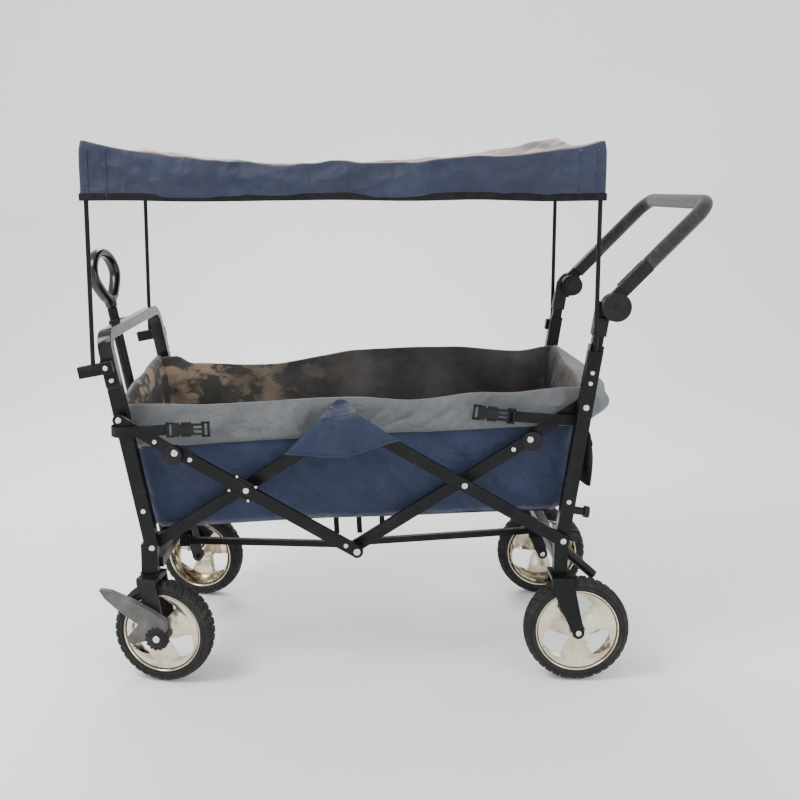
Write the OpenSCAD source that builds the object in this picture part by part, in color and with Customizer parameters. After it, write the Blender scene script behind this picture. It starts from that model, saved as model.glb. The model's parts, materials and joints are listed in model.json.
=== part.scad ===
// Folding camp wagon: scissor frame, fabric basket, canopy, pull handle and push handle.
// X runs from the pull end (-) to the push end (+), Y is the width, Z is up.
// Heights are from a level just above the ground; "ride" lifts the wagon from it onto its wheels.

/* [Wagon] */
// X of the scissor linkage's centre line
centre_x = -60; // [-70:1:-50]
// Distance from the mid-plane to the middle of each leg
leg_y = 214; // [210:1:216]
// Half the distance between the front and rear lower leg pivots
pivot_half = 423; // [415:1:430]
// Height of the lower leg pivots
pivot_z = 288; // [280:1:296]
// How far the frame is pitched up towards the push end, in degrees
pitch = 1.3; // [0:0.1:1.5]

/* [Legs] */
// Outward lean of the legs, in degrees
lean = 9.7; // [9:0.1:10.5]
// Width of a leg tube, seen from the side
leg_w = 28; // [26:1:30]
// Depth of a leg tube, across the wagon
leg_d = 22; // [20:1:22]
// Height from the lower to the upper pivot of a leg
pivot_rise = 276; // [270:1:282]
// Distance along the leg from the lower pivot to the middle of the hoop's top bar
hoop_s = 449; // [440:1:456]
// Distance along the rear leg from the lower pivot to its top
rear_top_s = 408; // [400:1:415]

/* [Scissor] */
// Angle of the open scissor bars above the horizontal, in degrees
bar_angle = 31.3; // [31:0.1:31.6]
// Distance from a lower leg pivot to the crossing pivot
bar_low = 235; // [230:1:240]
// Height of a scissor bar, seen from the side
bar_w = 26; // [22:1:28]
// Thickness of a scissor bar, across the wagon
bar_t = 10; // [8:1:10]
// Distance from the crossing pivot to the hinge plate that meets the upper link
hinge_reach = 162.5; // [160:0.5:165]
// Radius of every frame pivot pin
pin_r = 4; // [3.5:0.5:4.5]

/* [Wheels] */
// Diameter of a front wheel
front_wheel_d = 214; // [208:1:216]
// Diameter of a rear wheel
rear_wheel_d = 220; // [214:1:222]
// Width of a tyre
tyre_w = 44; // [38:1:45]
// Distance from the caster's swivel axis back to its axle
caster_trail = 27; // [24:1:34]
// Swivel of the near caster as it stands, in degrees
caster_yaw_near = -10; // [-30:1:30]
// Swivel of the far caster as it stands, in degrees
caster_yaw_far = -14; // [-30:1:30]

/* [Handles] */
// X of the push handle's tilt axis
tilt_x = 456; // [452:1:460]
// Height of the push handle's tilt axis
tilt_z = 780; // [776:1:784]
// Angle of the push handle's arms above the horizontal, in degrees
push_angle = 46; // [40:1:50]
// Length of the push handle's arms, from the tilt axis to the cross grip
push_len = 275; // [260:1:290]
// Distance from the front legs forward to the pull handle's shaft
pull_gap = 34; // [31:1:36]

/* [Fabric] */
// Height of the basket's rim
rim_z = 600; // [590:1:606]
// Height of the basket's floor
floor_z = 338; // [334:1:342]
// Height of the seam between the lower panel and the grey collar
seam_z = 512; // [500:1:525]
// Half the outside width of the basket
basket_half = 180; // [176:1:181]
// Length of the canopy
canopy_l = 1018; // [1010:1:1022]
// Width of the canopy
canopy_w = 490; // [486:1:496]
// Height of the canopy's hem
hem_z = 988; // [984:1:992]
// Height of the canopy's top
canopy_z = 1102; // [1096:1:1106]

/* [Hidden] */
$fn = 48;
fit = 0.05;
gap = 0.3;
// layers of the side frame, as distances from the mid-plane
link_in = 183;
bar_in = 191;
leg_in = leg_y - leg_d / 2;
leg_out = leg_y + leg_d / 2;
bar_out = 227;
link_out = 239;
link_t = 6;
// pivot points of the near side, in X and Z from the linkage's centre line
low_f = [-pivot_half, pivot_z];
up_f = [-pivot_half - pivot_rise * tan(lean), pivot_z + pivot_rise];
bar_half = (pivot_half - bar_low * cos(bar_angle)) / cos(bar_angle);
cross_f = low_f + bar_low * [cos(bar_angle), sin(bar_angle)];
top_pt = [0, cross_f.y + bar_half * sin(bar_angle)];
bottom_pt = [0, cross_f.y - bar_half * sin(bar_angle)];
hinge_f = cross_f + hinge_reach * [-cos(bar_angle), sin(bar_angle)];
low_r = flip(low_f);
up_r = flip(up_f);
cross_r = flip(cross_f);
hinge_r = flip(hinge_f);
strut_pt = [-398, 222];
strut_end = [0, 203];
floor_len = 368;
floor_hinge = [-398, floor_z - 3];
pull_top_s = 487;
// casters and wheels
stem = [centre_x - 429, leg_y];
front_r = front_wheel_d / 2;
rear_r = rear_wheel_d / 2;
// how far the wheels reach below the level that heights are taken from
ride = 8;
rear_axle = [centre_x + 458, rear_r - ride];
fork_bot = 223;
fork_in = tyre_w / 2 + 3;
fork_t = 6;
axle_r = 5;
hub_w = 40;
// canopy poles
pole_r = 4.5;
front_pole = [-585, 236];
rear_pole = [416, 235];
canopy_x = -594;

function flip(p) = [-p.x, p.y];

// ---- placing ----

// stands the wagon on the ground at Z 0
module raised() {
    translate([0, 0, ride]) children();
}

// the pitched frame of the linkage: X from the centre line, Z from the ground
module frame_place() {
    translate([centre_x, 0, bottom_pt.y]) rotate([0, -pitch, 0]) translate([0, 0, -bottom_pt.y]) children();
}

// a leg's own frame: Z runs up the leg from its lower pivot; end is -1 at the front, 1 at the rear
module leg_place(end, side) {
    frame_place() translate([end * pivot_half, side * leg_y, pivot_z]) rotate([0, end * lean, 0]) children();
}

// extrudes an X-Z outline between two distances from the mid-plane, on one side, in the linkage's frame
module slab(side, y0, t) {
    frame_place() translate([0, side > 0 ? y0 + t : -y0, 0]) rotate([90, 0, 0]) linear_extrude(t) children();
}

// a round pin across the wagon at an X-Z point of the linkage
module cross_pin(side, p, y0, y1, r) {
    frame_place() translate([p.x, side * y0, p.y]) rotate([-side * 90, 0, 0]) cylinder(r = r, h = y1 - y0);
}

// a domed rivet head that stands on the face at distance y0
module rivet(side, p, y0, r = 5) {
    frame_place() translate([p.x, side * y0, p.y]) rotate([-side * 90, 0, 0]) dome(r);
}

module dome(r) {
    rotate_extrude() polygon([[0, 0], [r, 0], [r, 0.8], [r * 0.7, 2], [0, 2.4]]);
}

// a bar's side outline: eyes about two points, a little wider than the bar
module bar_outline(a, b, w) {
    dir = atan2(b.y - a.y, b.x - a.x);
    translate(a) circle(d = w);
    translate(b) circle(d = w);
    translate(a) rotate(dir) translate([0, 0.6 - w / 2]) square([norm(b - a), w - 1.2]);
}

// a flat bar with bores for running pins
module bored_bar(side, y0, t, a, b, w, bores) {
    slab(side, y0, t) difference() {
        bar_outline(a, b, w);
        for (p = bores) translate(p) circle(r = pin_r + fit);
    }
}

module both_sides() {
    for (side = [-1, 1]) {
        $side = side;
        children();
    }
}

// ---- front frame ----

module leg_lower(end, side, foot_x, width, foot_z, join_s) {
    intersection() {
        translate([foot_x - width / 2, side * leg_y - leg_d / 2, foot_z]) cube([width, leg_d, 110]);
        leg_place(end, side) translate([-40, -leg_d, -90]) cube([80, 2 * leg_d, 90 + join_s]);
    }
}

module front_leg(side) {
    color("#202123") difference() {
        union() {
            leg_place(-1, side) translate([-leg_w / 2, -leg_d / 2, 12]) cube([leg_w, leg_d, 328]);
            leg_lower(-1, side, stem.x, 34, fork_bot, 12);
        }
        translate([stem.x, side * stem.y, fork_bot - 1]) cylinder(r = 6 + fit, h = 41);
        cross_pin(side, low_f, leg_in - 1, leg_out + 1, pin_r);
        cross_pin(side, up_f, leg_in - 1, leg_out + 1, pin_r);
    }
}

module front_legs() { both_sides() front_leg($side); }

module hoop_corner(bend) {
    rotate([90, 0, 90]) rotate_extrude(angle = 90) translate([bend, 0]) square([leg_d, leg_w], center = true);
}

module front_hoop() {
    bend = 34;
    run_s = hoop_s - bend;
    color("#1b1c1e") frame_place() translate([-pivot_half, 0, pivot_z]) rotate([0, -lean, 0]) {
        for (side = [0, 1]) mirror([0, side, 0]) {
            translate([-leg_w / 2, leg_in, 340]) cube([leg_w, leg_d, run_s - 340]);
            translate([0, leg_y - bend, run_s]) hoop_corner(bend);
        }
        translate([-leg_w / 2, bend - leg_y, hoop_s - leg_d / 2]) cube([leg_w, 2 * (leg_y - bend), leg_d]);
    }
}

module front_crossbar() {
    color("#202123") {
        frame_place() translate([-pivot_half - 5, -leg_in, 238]) cube([22, 2 * leg_in, 22]);
        frame_place() for (y = [-19, 10]) translate([-412, y, 211]) cube([24, 4, 27]);
        frame_place() translate([strut_pt.x, -17, strut_pt.y]) rotate([-90, 0, 0]) cylinder(r = 3, h = 29);
        leg_place(-1, 0) for (y = [-17, 13]) translate([-pull_gap - 12, y, -58]) cube([38, 4, 24]);
        leg_place(-1, 0) translate([-pull_gap, 0, -46]) rotate([90, 0, 0])
            cylinder(r = pin_r, h = 26, center = true);
    }
}

module front_clamps() {
    color("#1d1e20") both_sides() {
        slab($side, leg_out, 4) translate(up_f) rotate(lean) translate([-leg_w / 2, 66]) square([leg_w, 58]);
        difference() {
            leg_place(-1, $side) translate([-58, $side > 0 ? leg_d / 2 + 2 : -leg_d / 2 - 18, 376])
                cube([70, 16, 24]);
            translate([front_pole.x, $side * front_pole.y, 600]) cylinder(r = pole_r, h = 200);
        }
    }
}

module handle_clip() {
    color("#18191b") leg_place(-1, 0) {
        translate([-leg_w / 2 - 8, -17, hoop_s - 12]) cube([8, 34, 24]);
        for (y = [-17, 12]) translate([-leg_w / 2 - 30, y, hoop_s - 12]) cube([22, 5, 24]);
    }
}

module front_rivets() {
    color("#d9dadb") both_sides() {
        cross_pin($side, low_f, bar_in, leg_out, pin_r);
        rivet($side, low_f, leg_out, 6);
        cross_pin($side, up_f, leg_in, link_out + link_t + gap, pin_r);
        rivet($side, up_f, link_out + link_t + gap, 6);
        for (p = [[0, 0, 80], [0, 4, 360], [-2, 18, 388]]) leg_place(-1, $side)
            translate([p.x, $side * (leg_d / 2 + p.y), p.z]) rotate([-$side * 90, 0, 0]) dome(5);
    }
}

// ---- pull handle ----

module pull_tube_outer() {
    color("#1b1c1e") leg_place(-1, 0) translate([-pull_gap, 0, 0]) difference() {
        translate([0, 0, -58]) cylinder(r = 11, h = pull_top_s + 58);
        translate([0, 0, 100]) cylinder(r = 9 + fit, h = 400);
        translate([0, 0, -46]) rotate([90, 0, 0]) cylinder(r = pin_r + fit, h = 40, center = true);
    }
}

module pull_tube_inner() {
    color("#303236") leg_place(-1, 0) translate([-pull_gap, 0, 140]) cylinder(r = 9, h = pull_top_s - 129.5);
}

module pull_grip() {
    loop_s = pull_top_s + 73;
    color("#151517") leg_place(-1, 0) translate([-pull_gap, 0, 0]) {
        translate([0, 0, loop_s]) rotate([0, 90, 0]) rotate_extrude() translate([46, 0]) circle(r = 16);
        difference() {
            translate([0, 0, pull_top_s + gap]) cylinder(r1 = 12, r2 = 17, h = 22);
            translate([0, 0, pull_top_s - 10]) cylinder(r = 9, h = 20.8);
        }
    }
}

// ---- rear frame ----

module rear_leg(side) {
    color("#202123") difference() {
        union() {
            leg_place(1, side) translate([-leg_w / 2, -leg_d / 2, 0]) cube([leg_w, leg_d, rear_top_s]);
            leg_lower(1, side, centre_x + 421, leg_w, fork_bot, 0);
        }
        leg_place(1, side) translate([-11.3, -8.3, 200]) cube([22.6, 16.6, 300]);
        cross_pin(side, low_r, leg_in - 1, leg_out + 1, pin_r);
        cross_pin(side, up_r, leg_in - 1, leg_out + 1, pin_r);
    }
}

module rear_legs() { both_sides() rear_leg($side); }

module rear_crossbar() {
    color("#202123") {
        frame_place() translate([pivot_half - 17, -leg_in, 238]) cube([22, 2 * leg_in, 22]);
        frame_place() for (y = [-14, 15]) translate([388, y, 211]) cube([24, 4, 27]);
        frame_place() translate([-strut_pt.x, -12, strut_pt.y]) rotate([-90, 0, 0]) cylinder(r = 3, h = 29);
    }
}

module rear_clamps() {
    color("#1d1e20") both_sides() difference() {
        leg_place(1, $side) translate([-20, $side > 0 ? leg_d / 2 : -leg_d / 2 - 17, 372]) cube([30, 17, 26]);
        translate([rear_pole.x, $side * rear_pole.y, 600]) cylinder(r = pole_r, h = 200);
    }
}

module rear_stand() {
    tube_y = 172;
    color("#17181a") both_sides() {
        difference() {
            frame_place() translate([426, $side * tube_y, 256]) rotate([0, 133, 0]) cylinder(r = 10, h = 100);
            frame_place() translate([pivot_half - 17, -leg_in, 238]) cube([22, 2 * leg_in, 22]);
        }
        leg_place(1, $side) translate([leg_w / 2, 0, 62]) rotate([0, 90, 0]) cylinder(r = 8, h = 22);
        leg_place(1, $side) translate([leg_w / 2 + 22, 0, 62]) rotate([0, 90, 0]) cylinder(r = 12, h = 10);
        leg_place(1, $side) translate([leg_w / 2, 0, 8]) rotate([0, 90, 0]) cylinder(r = 12, h = 20);
    }
}

module rear_rivets() {
    color("#d9dadb") both_sides() {
        cross_pin($side, low_r, leg_in, bar_out + bar_t + gap, pin_r);
        rivet($side, low_r, bar_out + bar_t + gap, 6);
        cross_pin($side, up_r, link_in, leg_out, pin_r);
        rivet($side, up_r, leg_out, 6);
        leg_place(1, $side) translate([0, $side * leg_d / 2, 80]) rotate([-$side * 90, 0, 0]) dome(5);
    }
}

module rear_forks() {
    arm_y = fork_in;
    color("#1a1b1d") both_sides() translate([0, $side * leg_y, 0]) {
        difference() {
            for (s = [-1, 1]) translate([0, s * (arm_y + fork_t / 2) + fork_t / 2, 0]) rotate([90, 0, 0])
                linear_extrude(fork_t) {
                    translate(rear_axle) circle(r = 12);
                    polygon([
                        [centre_x + 400, fork_bot - 2], [centre_x + 444, fork_bot - 2],
                        rear_axle + [11.5, 3], rear_axle + [-11, -5], [centre_x + 402, fork_bot - 26]
                    ]);
                }
            translate([rear_axle.x, 0, rear_axle.y]) rotate([90, 0, 0])
                cylinder(r = axle_r, h = 99, center = true);
        }
        translate([centre_x + 400, -arm_y, fork_bot - 9]) cube([44, 2 * arm_y, 9]);
    }
}

module rear_axles() {
    color("#d9dadb") both_sides() translate([rear_axle.x, $side * leg_y, rear_axle.y]) {
        rotate([90, 0, 0]) cylinder(r = axle_r, h = 2 * (fork_in + fork_t), center = true);
        for (s = [-1, 1]) translate([0, s * (fork_in + fork_t), 0]) rotate([-s * 90, 0, 0]) dome(6);
    }
}

// ---- push handle ----

module handle_risers() {
    color("#26282b") both_sides() leg_place(1, $side) translate([-11, -8, 286]) cube([22, 16, 178]);
}

// round plate across the wagon at the tilt axis, between two distances from the mid-plane
module tilt_disc(side, r, y0, y1) {
    translate([tilt_x, side * y0, tilt_z]) rotate([-side * 90, 0, 0]) cylinder(r = r, h = y1 - y0);
}

module riser_hubs() {
    recess_r = 20;
    color("#17181a") both_sides() difference() {
        union() {
            tilt_disc($side, 25, 196, 214);
            leg_place(1, $side) translate([-14, -leg_d / 2, 428]) cube([28, leg_d, 36]);
            intersection() {
                leg_place(1, $side) translate([-14, -leg_d / 2, 460]) cube([34, leg_d, 36]);
                translate([tilt_x - 60, $side > 0 ? leg_in : -214, tilt_z - 60]) cube([120, 11, 120]);
            }
        }
        leg_place(1, $side) translate([-11, -8, 400]) cube([22, 16, 64]);
        tilt_disc($side, recess_r, 195, 209);
    }
}

module tilt_button(side) {
    color("#2a2b2e") {
        tilt_disc(side, 19.7, 192, 203.5);
        tilt_disc(side, 14, 190, 192);
    }
}

module tilt_button_near() { tilt_button(-1); }
module tilt_button_far() { tilt_button(1); }

// the push handle's own frame: X runs out along the arms from the tilt axis, Y across the wagon
module push_place() {
    translate([tilt_x, 0, tilt_z]) rotate([0, -push_angle, 0]) translate([0, 0, 12]) children();
}

module push_tube_solid(r, from) {
    bend = 42;
    run = push_len - bend;
    for (side = [0, 1]) mirror([0, side, 0]) {
        translate([from, leg_y, 0]) rotate([0, 90, 0]) cylinder(r = r, h = run - from);
        translate([run, leg_y - bend, 0]) rotate_extrude(angle = 90) translate([bend, 0]) circle(r = r);
    }
    translate([push_len, 0, 0]) rotate([90, 0, 0]) cylinder(r = r, h = 2 * (leg_y - bend), center = true);
}

module push_tube() {
    color("#1b1c1e") push_place() push_tube_solid(11, 40);
}

module push_grip() {
    color("#2b2b2d") push_place() difference() {
        push_tube_solid(15, 105);
        push_tube_solid(11, 40);
    }
}

module push_hubs() {
    color("#17181a") both_sides() {
        difference() {
            union() {
                tilt_disc($side, 25, 214 + gap, 226);
                push_place() translate([10, $side > 0 ? 214 + gap : -226, -13]) cube([30, 11.7, 26]);
                push_place() translate([34, $side * leg_y - 13, -13]) cube([70, 26, 26]);
            }
            push_place() push_tube_solid(11, 40);
        }
        tilt_disc($side, 29, 226, 237);
        tilt_disc($side, 5, 237, 239);
        for (d = [50, 76]) push_place() translate([d, $side * (leg_y + 13), -4])
            rotate([-$side * 90, 0, 0]) dome(5);
    }
}

// ---- scissor bars ----

module bar_a() {
    color("#222326") both_sides() {
        bored_bar($side, bar_out, bar_t, bottom_pt, hinge_f, bar_w, [cross_f]);
        cross_spacer($side, bottom_pt, gap, 0);
    }
}

module bar_b() {
    color("#222326") both_sides() {
        bored_bar($side, bar_in, bar_t, low_f, top_pt, bar_w, [low_f]);
        cross_spacer($side, cross_f, 0, gap);
        cross_spacer($side, top_pt, 0, gap);
    }
}

module bar_c() {
    color("#222326") both_sides()
        bored_bar($side, bar_in, bar_t, bottom_pt, hinge_r, bar_w, [bottom_pt, cross_r]);
}

module bar_d() {
    color("#222326") both_sides() {
        bored_bar($side, bar_out, bar_t, low_r, top_pt, bar_w, [low_r, top_pt]);
        cross_spacer($side, cross_r, gap, 0);
    }
}

// the boss between an inner and an outer bar, with its clearance from each
module cross_spacer(side, p, from_inner, from_outer) {
    cross_pin(side, p, bar_in + bar_t + from_inner, bar_out - from_outer, 10);
}

module bar_a_pins() {
    color("#d9dadb") both_sides() {
        cross_pin($side, bottom_pt, bar_in, bar_in + bar_t + gap, pin_r);
        rivet($side, bottom_pt, bar_out + bar_t, 7);
    }
}

module bar_b_pins() {
    color("#d9dadb") both_sides() {
        for (p = [cross_f, top_pt]) cross_pin($side, p, bar_out - gap, bar_out + bar_t + gap, pin_r);
        rivet($side, cross_f, bar_out + bar_t + gap, 6);
    }
}

module bar_d_pins() {
    color("#d9dadb") both_sides() {
        cross_pin($side, cross_r, bar_in, bar_in + bar_t + gap, pin_r);
        rivet($side, cross_r, bar_out + bar_t, 6);
    }
}

module front_links() {
    color("#1d1e20") both_sides() {
        bored_bar($side, link_out, link_t, up_f, hinge_f, 24, [up_f]);
        rivet($side, hinge_f, link_out + link_t, 7);
    }
}

module rear_links() {
    color("#1d1e20") both_sides() bored_bar($side, link_in, link_t, up_r, hinge_r, 24, [up_r]);
}

// ---- floor ----

module floor_strut(end, y0) {
    a = [end * -strut_pt.x, strut_pt.y];
    frame_place() translate([0, y0 + 12, 0]) rotate([90, 0, 0]) linear_extrude(12) difference() {
        bar_outline(a, strut_end, 15);
        translate(a) circle(r = 3 + fit);
    }
}

module floor_strut_front() { color("#1b1c1e") floor_strut(-1, -14.5); }
module floor_strut_rear() { color("#1b1c1e") floor_strut(1, 2); }

module floor_board(end) {
    from_x = end < 0 ? floor_hinge.x : -floor_hinge.x - floor_len;
    color("#23262c") frame_place() translate([from_x, -170, floor_z - 6]) cube([floor_len, 340, 6]);
}

module floor_board_front() { floor_board(-1); }
module floor_board_rear() { floor_board(1); }

module floor_straps() {
    color("#141416") frame_place() for (x = [-53, 0, 53]) translate([x - 6, 16, 212])
        cube([12, 2, floor_z - 219]);
}

// ---- basket ----

function inner_x(z) = pivot_half + (z - pivot_z) * tan(lean) - 21;

module side_wall(side, z0, z1, t) {
    slab(side, basket_half - 4, t) polygon([
        [-inner_x(z0), z0], [inner_x(z0), z0], [inner_x(z1), z1], [-inner_x(z1), z1]
    ]);
}

module basket_sides() { color("#1f2f57") both_sides() side_wall($side, floor_z - 12, seam_z, 4); }
module collar_sides() { color("#6d747b") both_sides() side_wall($side, seam_z + 0.5, rim_z, 5); }

module end_panel(end) {
    top = (rim_z - pivot_z) / cos(lean);
    bottom = (floor_z - 12 - pivot_z) / cos(lean);
    color("#6d747b") leg_place(end, 0) translate([end > 0 ? -19.5 : 15.5, 4 - basket_half, bottom])
        cube([4, 2 * basket_half - 8, top - bottom]);
}

module basket_front_panel() { end_panel(-1); }
module basket_rear_panel() { end_panel(1); }

module side_flaps() {
    color("#243763") both_sides() {
        slab($side, link_out + 2, 2)
            polygon([[-138, 488], [-24, rim_z], [-14, rim_z], [91, 508], [-20, 492]]);
        slab($side, basket_half + 2, link_out - basket_half)
            polygon([[-38, 594], [0, 594], [-10, rim_z], [-30, rim_z]]);
    }
}

module straps() {
    color("#121214") both_sides() {
        frame_place() translate([-487, $side > 0 ? 250 : -252, 530]) cube([130, 2, 24]);
        frame_place() translate([325, $side > 0 ? 204 : -206, 532]) cube([123, 2, 24]);
    }
}

module buckles() {
    color("#0f0f11") both_sides() {
        frame_place() translate([-357, $side > 0 ? 246 : -255, 527]) cube([45, 9, 30]);
        frame_place() translate([280, $side > 0 ? 202.5 : -211.5, 529]) cube([45, 9, 30]);
    }
}

module rear_pouch() {
    color("#141416") leg_place(1, 0) translate([leg_w / 2 + 4, -168, 95]) cube([26, 336, 125]);
}

// ---- canopy ----

module canopy_cloth() {
    color("#22335c") difference() {
        translate([canopy_x, -canopy_w / 2, hem_z]) cube([canopy_l, canopy_w, canopy_z - hem_z]);
        translate([canopy_x + 3, 3 - canopy_w / 2, hem_z - 1])
            cube([canopy_l - 6, canopy_w - 6, canopy_z - hem_z - 3]);
    }
}

module pole(at, side, z0) {
    color("#101012") translate([at.x, side * at.y, z0]) cylinder(r = pole_r, h = canopy_z - 4 - z0, $fn = 32);
}

module canopy_poles_front() { both_sides() pole(front_pole, $side, 650); }
module canopy_poles_rear() { both_sides() pole(rear_pole, $side, 668); }

// ---- casters ----

// a caster's own frame: origin under its swivel axis
module caster_place(side) {
    yaw = side < 0 ? caster_yaw_near : caster_yaw_far;
    translate([stem.x, side * stem.y, 0]) rotate([0, 0, yaw]) children();
}

module caster_fork(side) {
    crown_z = fork_bot - 14;
    axle = [caster_trail, front_r - ride];
    color("#1a1b1d") caster_place(side) {
        difference() {
            union() {
                translate([0, 0, crown_z]) cylinder(r = 22, h = 13.5);
                translate([-20, -fork_in - fork_t, crown_z]) cube([42, 2 * (fork_in + fork_t), 10]);
                for (y = [-fork_in, fork_in + fork_t]) translate([0, y, 0]) rotate([90, 0, 0])
                    linear_extrude(fork_t) {
                        translate(axle) circle(r = 13);
                        polygon([[-20, crown_z], [22, crown_z], axle + [13, 0], axle + [-11, -6]]);
                    }
            }
            translate([axle.x, 0, axle.y]) rotate([90, 0, 0]) cylinder(r = axle_r, h = 99, center = true);
        }
        translate([axle.x, 0, axle.y]) rotate([90, 0, 0])
            cylinder(r = axle_r, h = 2 * (fork_in + fork_t + 12), center = true);
        translate([0, 0, fork_bot - 0.5]) cylinder(r = 6, h = 36);
    }
}

module caster_fork_near() { caster_fork(-1); }
module caster_fork_far() { caster_fork(1); }

module brake_pedal(side) {
    y0 = fork_in + fork_t + gap;
    pedal_t = 14;
    axle = [caster_trail, front_r - ride];
    lever = [
        [-124, 96], [-98, 94], [-52, 77], [-9, 57], [17, 42], [21, 18], [8, -6],
        [-14, -4], [-55, -17], [-67, -5], [-55, 10], [-40, 28], [-80, 52], [-112, 78]
    ];
    color("#6f7173") caster_place(side) mirror([0, side < 0 ? 1 : 0, 0]) difference() {
        union() {
            translate([0, y0 + pedal_t, 0]) rotate([90, 0, 0]) linear_extrude(pedal_t)
                translate(axle) polygon(lever);
            translate([axle.x, y0, axle.y]) rotate([-90, 0, 0]) cylinder(r = 17, h = pedal_t);
        }
        translate([axle.x, y0 - 1, axle.y]) rotate([-90, 0, 0]) cylinder(r = axle_r + fit, h = pedal_t + 2);
    }
}

module brake_pedal_near() { brake_pedal(-1); }
module brake_pedal_far() { brake_pedal(1); }

// ---- wheels ----

// a wheel's own frame: Z is its axle, the outer face is up
module rim(r) {
    spoke_w = 30;
    color("#cfc7b6") difference() {
        union() {
            rotate_extrude($fn = 96) polygon([
                [r - 30, -18], [r - 22, -18], [r - 22, 18], [r - 30, 18], [r - 34, 12], [r - 34, -12]
            ]);
            cylinder(r = 22, h = hub_w, center = true);
            for (turn = [-90, 30, 150]) rotate(turn)
                translate([0, -spoke_w / 2, -4]) cube([r - 30, spoke_w, 14]);
        }
        cylinder(r = axle_r + fit, h = 99, center = true);
    }
}

module tyre(r) {
    color("#19191a") rotate_extrude($fn = 96) polygon([
        [r - 22, -20], [r - 14, -tyre_w / 2], [r - 6, -tyre_w / 2 + 2], [r, -10], [r, 10],
        [r - 6, tyre_w / 2 - 2], [r - 14, tyre_w / 2], [r - 22, 20]
    ]);
}

module front_wheel_place(side) {
    caster_place(side) translate([caster_trail, 0, front_r - ride])
        rotate([side < 0 ? 90 : -90, 0, 0]) children();
}

module rear_wheel_place(side) {
    translate([rear_axle.x, side * leg_y, rear_axle.y]) rotate([side < 0 ? 90 : -90, 0, 0]) children();
}

module front_rims_near() { front_wheel_place(-1) rim(front_r); }
module front_rims_far() { front_wheel_place(1) rim(front_r); }
module rear_rims_near() { rear_wheel_place(-1) rim(rear_r); }
module rear_rims_far() { rear_wheel_place(1) rim(rear_r); }
module front_tyre_near() { front_wheel_place(-1) tyre(front_r); }
module front_tyre_far() { front_wheel_place(1) tyre(front_r); }
module rear_tyre_near() { rear_wheel_place(-1) tyre(rear_r); }
module rear_tyre_far() { rear_wheel_place(1) tyre(rear_r); }

raised() front_legs();
raised() front_hoop();
raised() front_crossbar();
raised() front_clamps();
raised() handle_clip();
raised() front_rivets();
raised() pull_tube_outer();
raised() pull_tube_inner();
raised() pull_grip();
raised() rear_legs();
raised() rear_crossbar();
raised() rear_clamps();
raised() rear_stand();
raised() rear_rivets();
raised() rear_forks();
raised() rear_axles();
raised() handle_risers();
raised() riser_hubs();
raised() tilt_button_near();
raised() tilt_button_far();
raised() push_tube();
raised() push_hubs();
raised() push_grip();
raised() bar_a();
raised() bar_b();
raised() bar_c();
raised() bar_d();
raised() bar_a_pins();
raised() bar_b_pins();
raised() bar_d_pins();
raised() front_links();
raised() rear_links();
raised() floor_strut_front();
raised() floor_strut_rear();
raised() floor_board_front();
raised() floor_board_rear();
raised() floor_straps();
raised() basket_sides();
raised() collar_sides();
raised() basket_front_panel();
raised() basket_rear_panel();
raised() side_flaps();
raised() straps();
raised() buckles();
raised() rear_pouch();
raised() canopy_cloth();
raised() canopy_poles_front();
raised() canopy_poles_rear();
raised() caster_fork_near();
raised() caster_fork_far();
raised() brake_pedal_near();
raised() brake_pedal_far();
raised() front_rims_near();
raised() front_rims_far();
raised() rear_rims_near();
raised() rear_rims_far();
raised() front_tyre_near();
raised() front_tyre_far();
raised() rear_tyre_near();
raised() rear_tyre_far();
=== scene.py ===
import json
import math

import bpy
from mathutils import Matrix, Vector, noise
from mathutils.bvhtree import BVHTree


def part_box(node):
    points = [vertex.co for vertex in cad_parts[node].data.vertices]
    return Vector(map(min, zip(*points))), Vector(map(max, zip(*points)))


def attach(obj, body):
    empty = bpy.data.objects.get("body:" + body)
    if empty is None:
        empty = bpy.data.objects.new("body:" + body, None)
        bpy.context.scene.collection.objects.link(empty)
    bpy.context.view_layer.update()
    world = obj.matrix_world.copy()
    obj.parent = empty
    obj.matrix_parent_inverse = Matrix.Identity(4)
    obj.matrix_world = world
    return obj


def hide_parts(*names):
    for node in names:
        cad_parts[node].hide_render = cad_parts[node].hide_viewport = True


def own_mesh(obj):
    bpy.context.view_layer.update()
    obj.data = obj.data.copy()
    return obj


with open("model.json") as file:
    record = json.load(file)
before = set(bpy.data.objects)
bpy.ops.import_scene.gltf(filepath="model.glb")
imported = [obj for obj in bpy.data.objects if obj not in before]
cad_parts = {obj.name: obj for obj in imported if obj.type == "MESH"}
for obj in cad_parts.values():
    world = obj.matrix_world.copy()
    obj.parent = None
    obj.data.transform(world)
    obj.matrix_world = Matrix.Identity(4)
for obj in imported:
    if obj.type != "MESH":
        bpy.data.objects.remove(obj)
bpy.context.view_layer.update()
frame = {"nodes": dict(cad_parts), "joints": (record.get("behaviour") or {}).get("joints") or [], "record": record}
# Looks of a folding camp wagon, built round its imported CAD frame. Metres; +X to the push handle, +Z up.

NODES = frame["nodes"]
JOINTS = {j["name"]: j for j in frame["joints"]}
SLOT_OF = {s["node"]: s["material_slot"] for s in frame["record"]["subparts"]}
SIDES = {"near": -1, "far": 1}
Y = Vector((0, 1, 0))
Z = Vector((0, 0, 1))


def pivot(joint):
    return Vector(JOINTS[joint]["pos_m"])


# ---- the linkage's own frame: X from its centre line, Z from the ground ----

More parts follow.
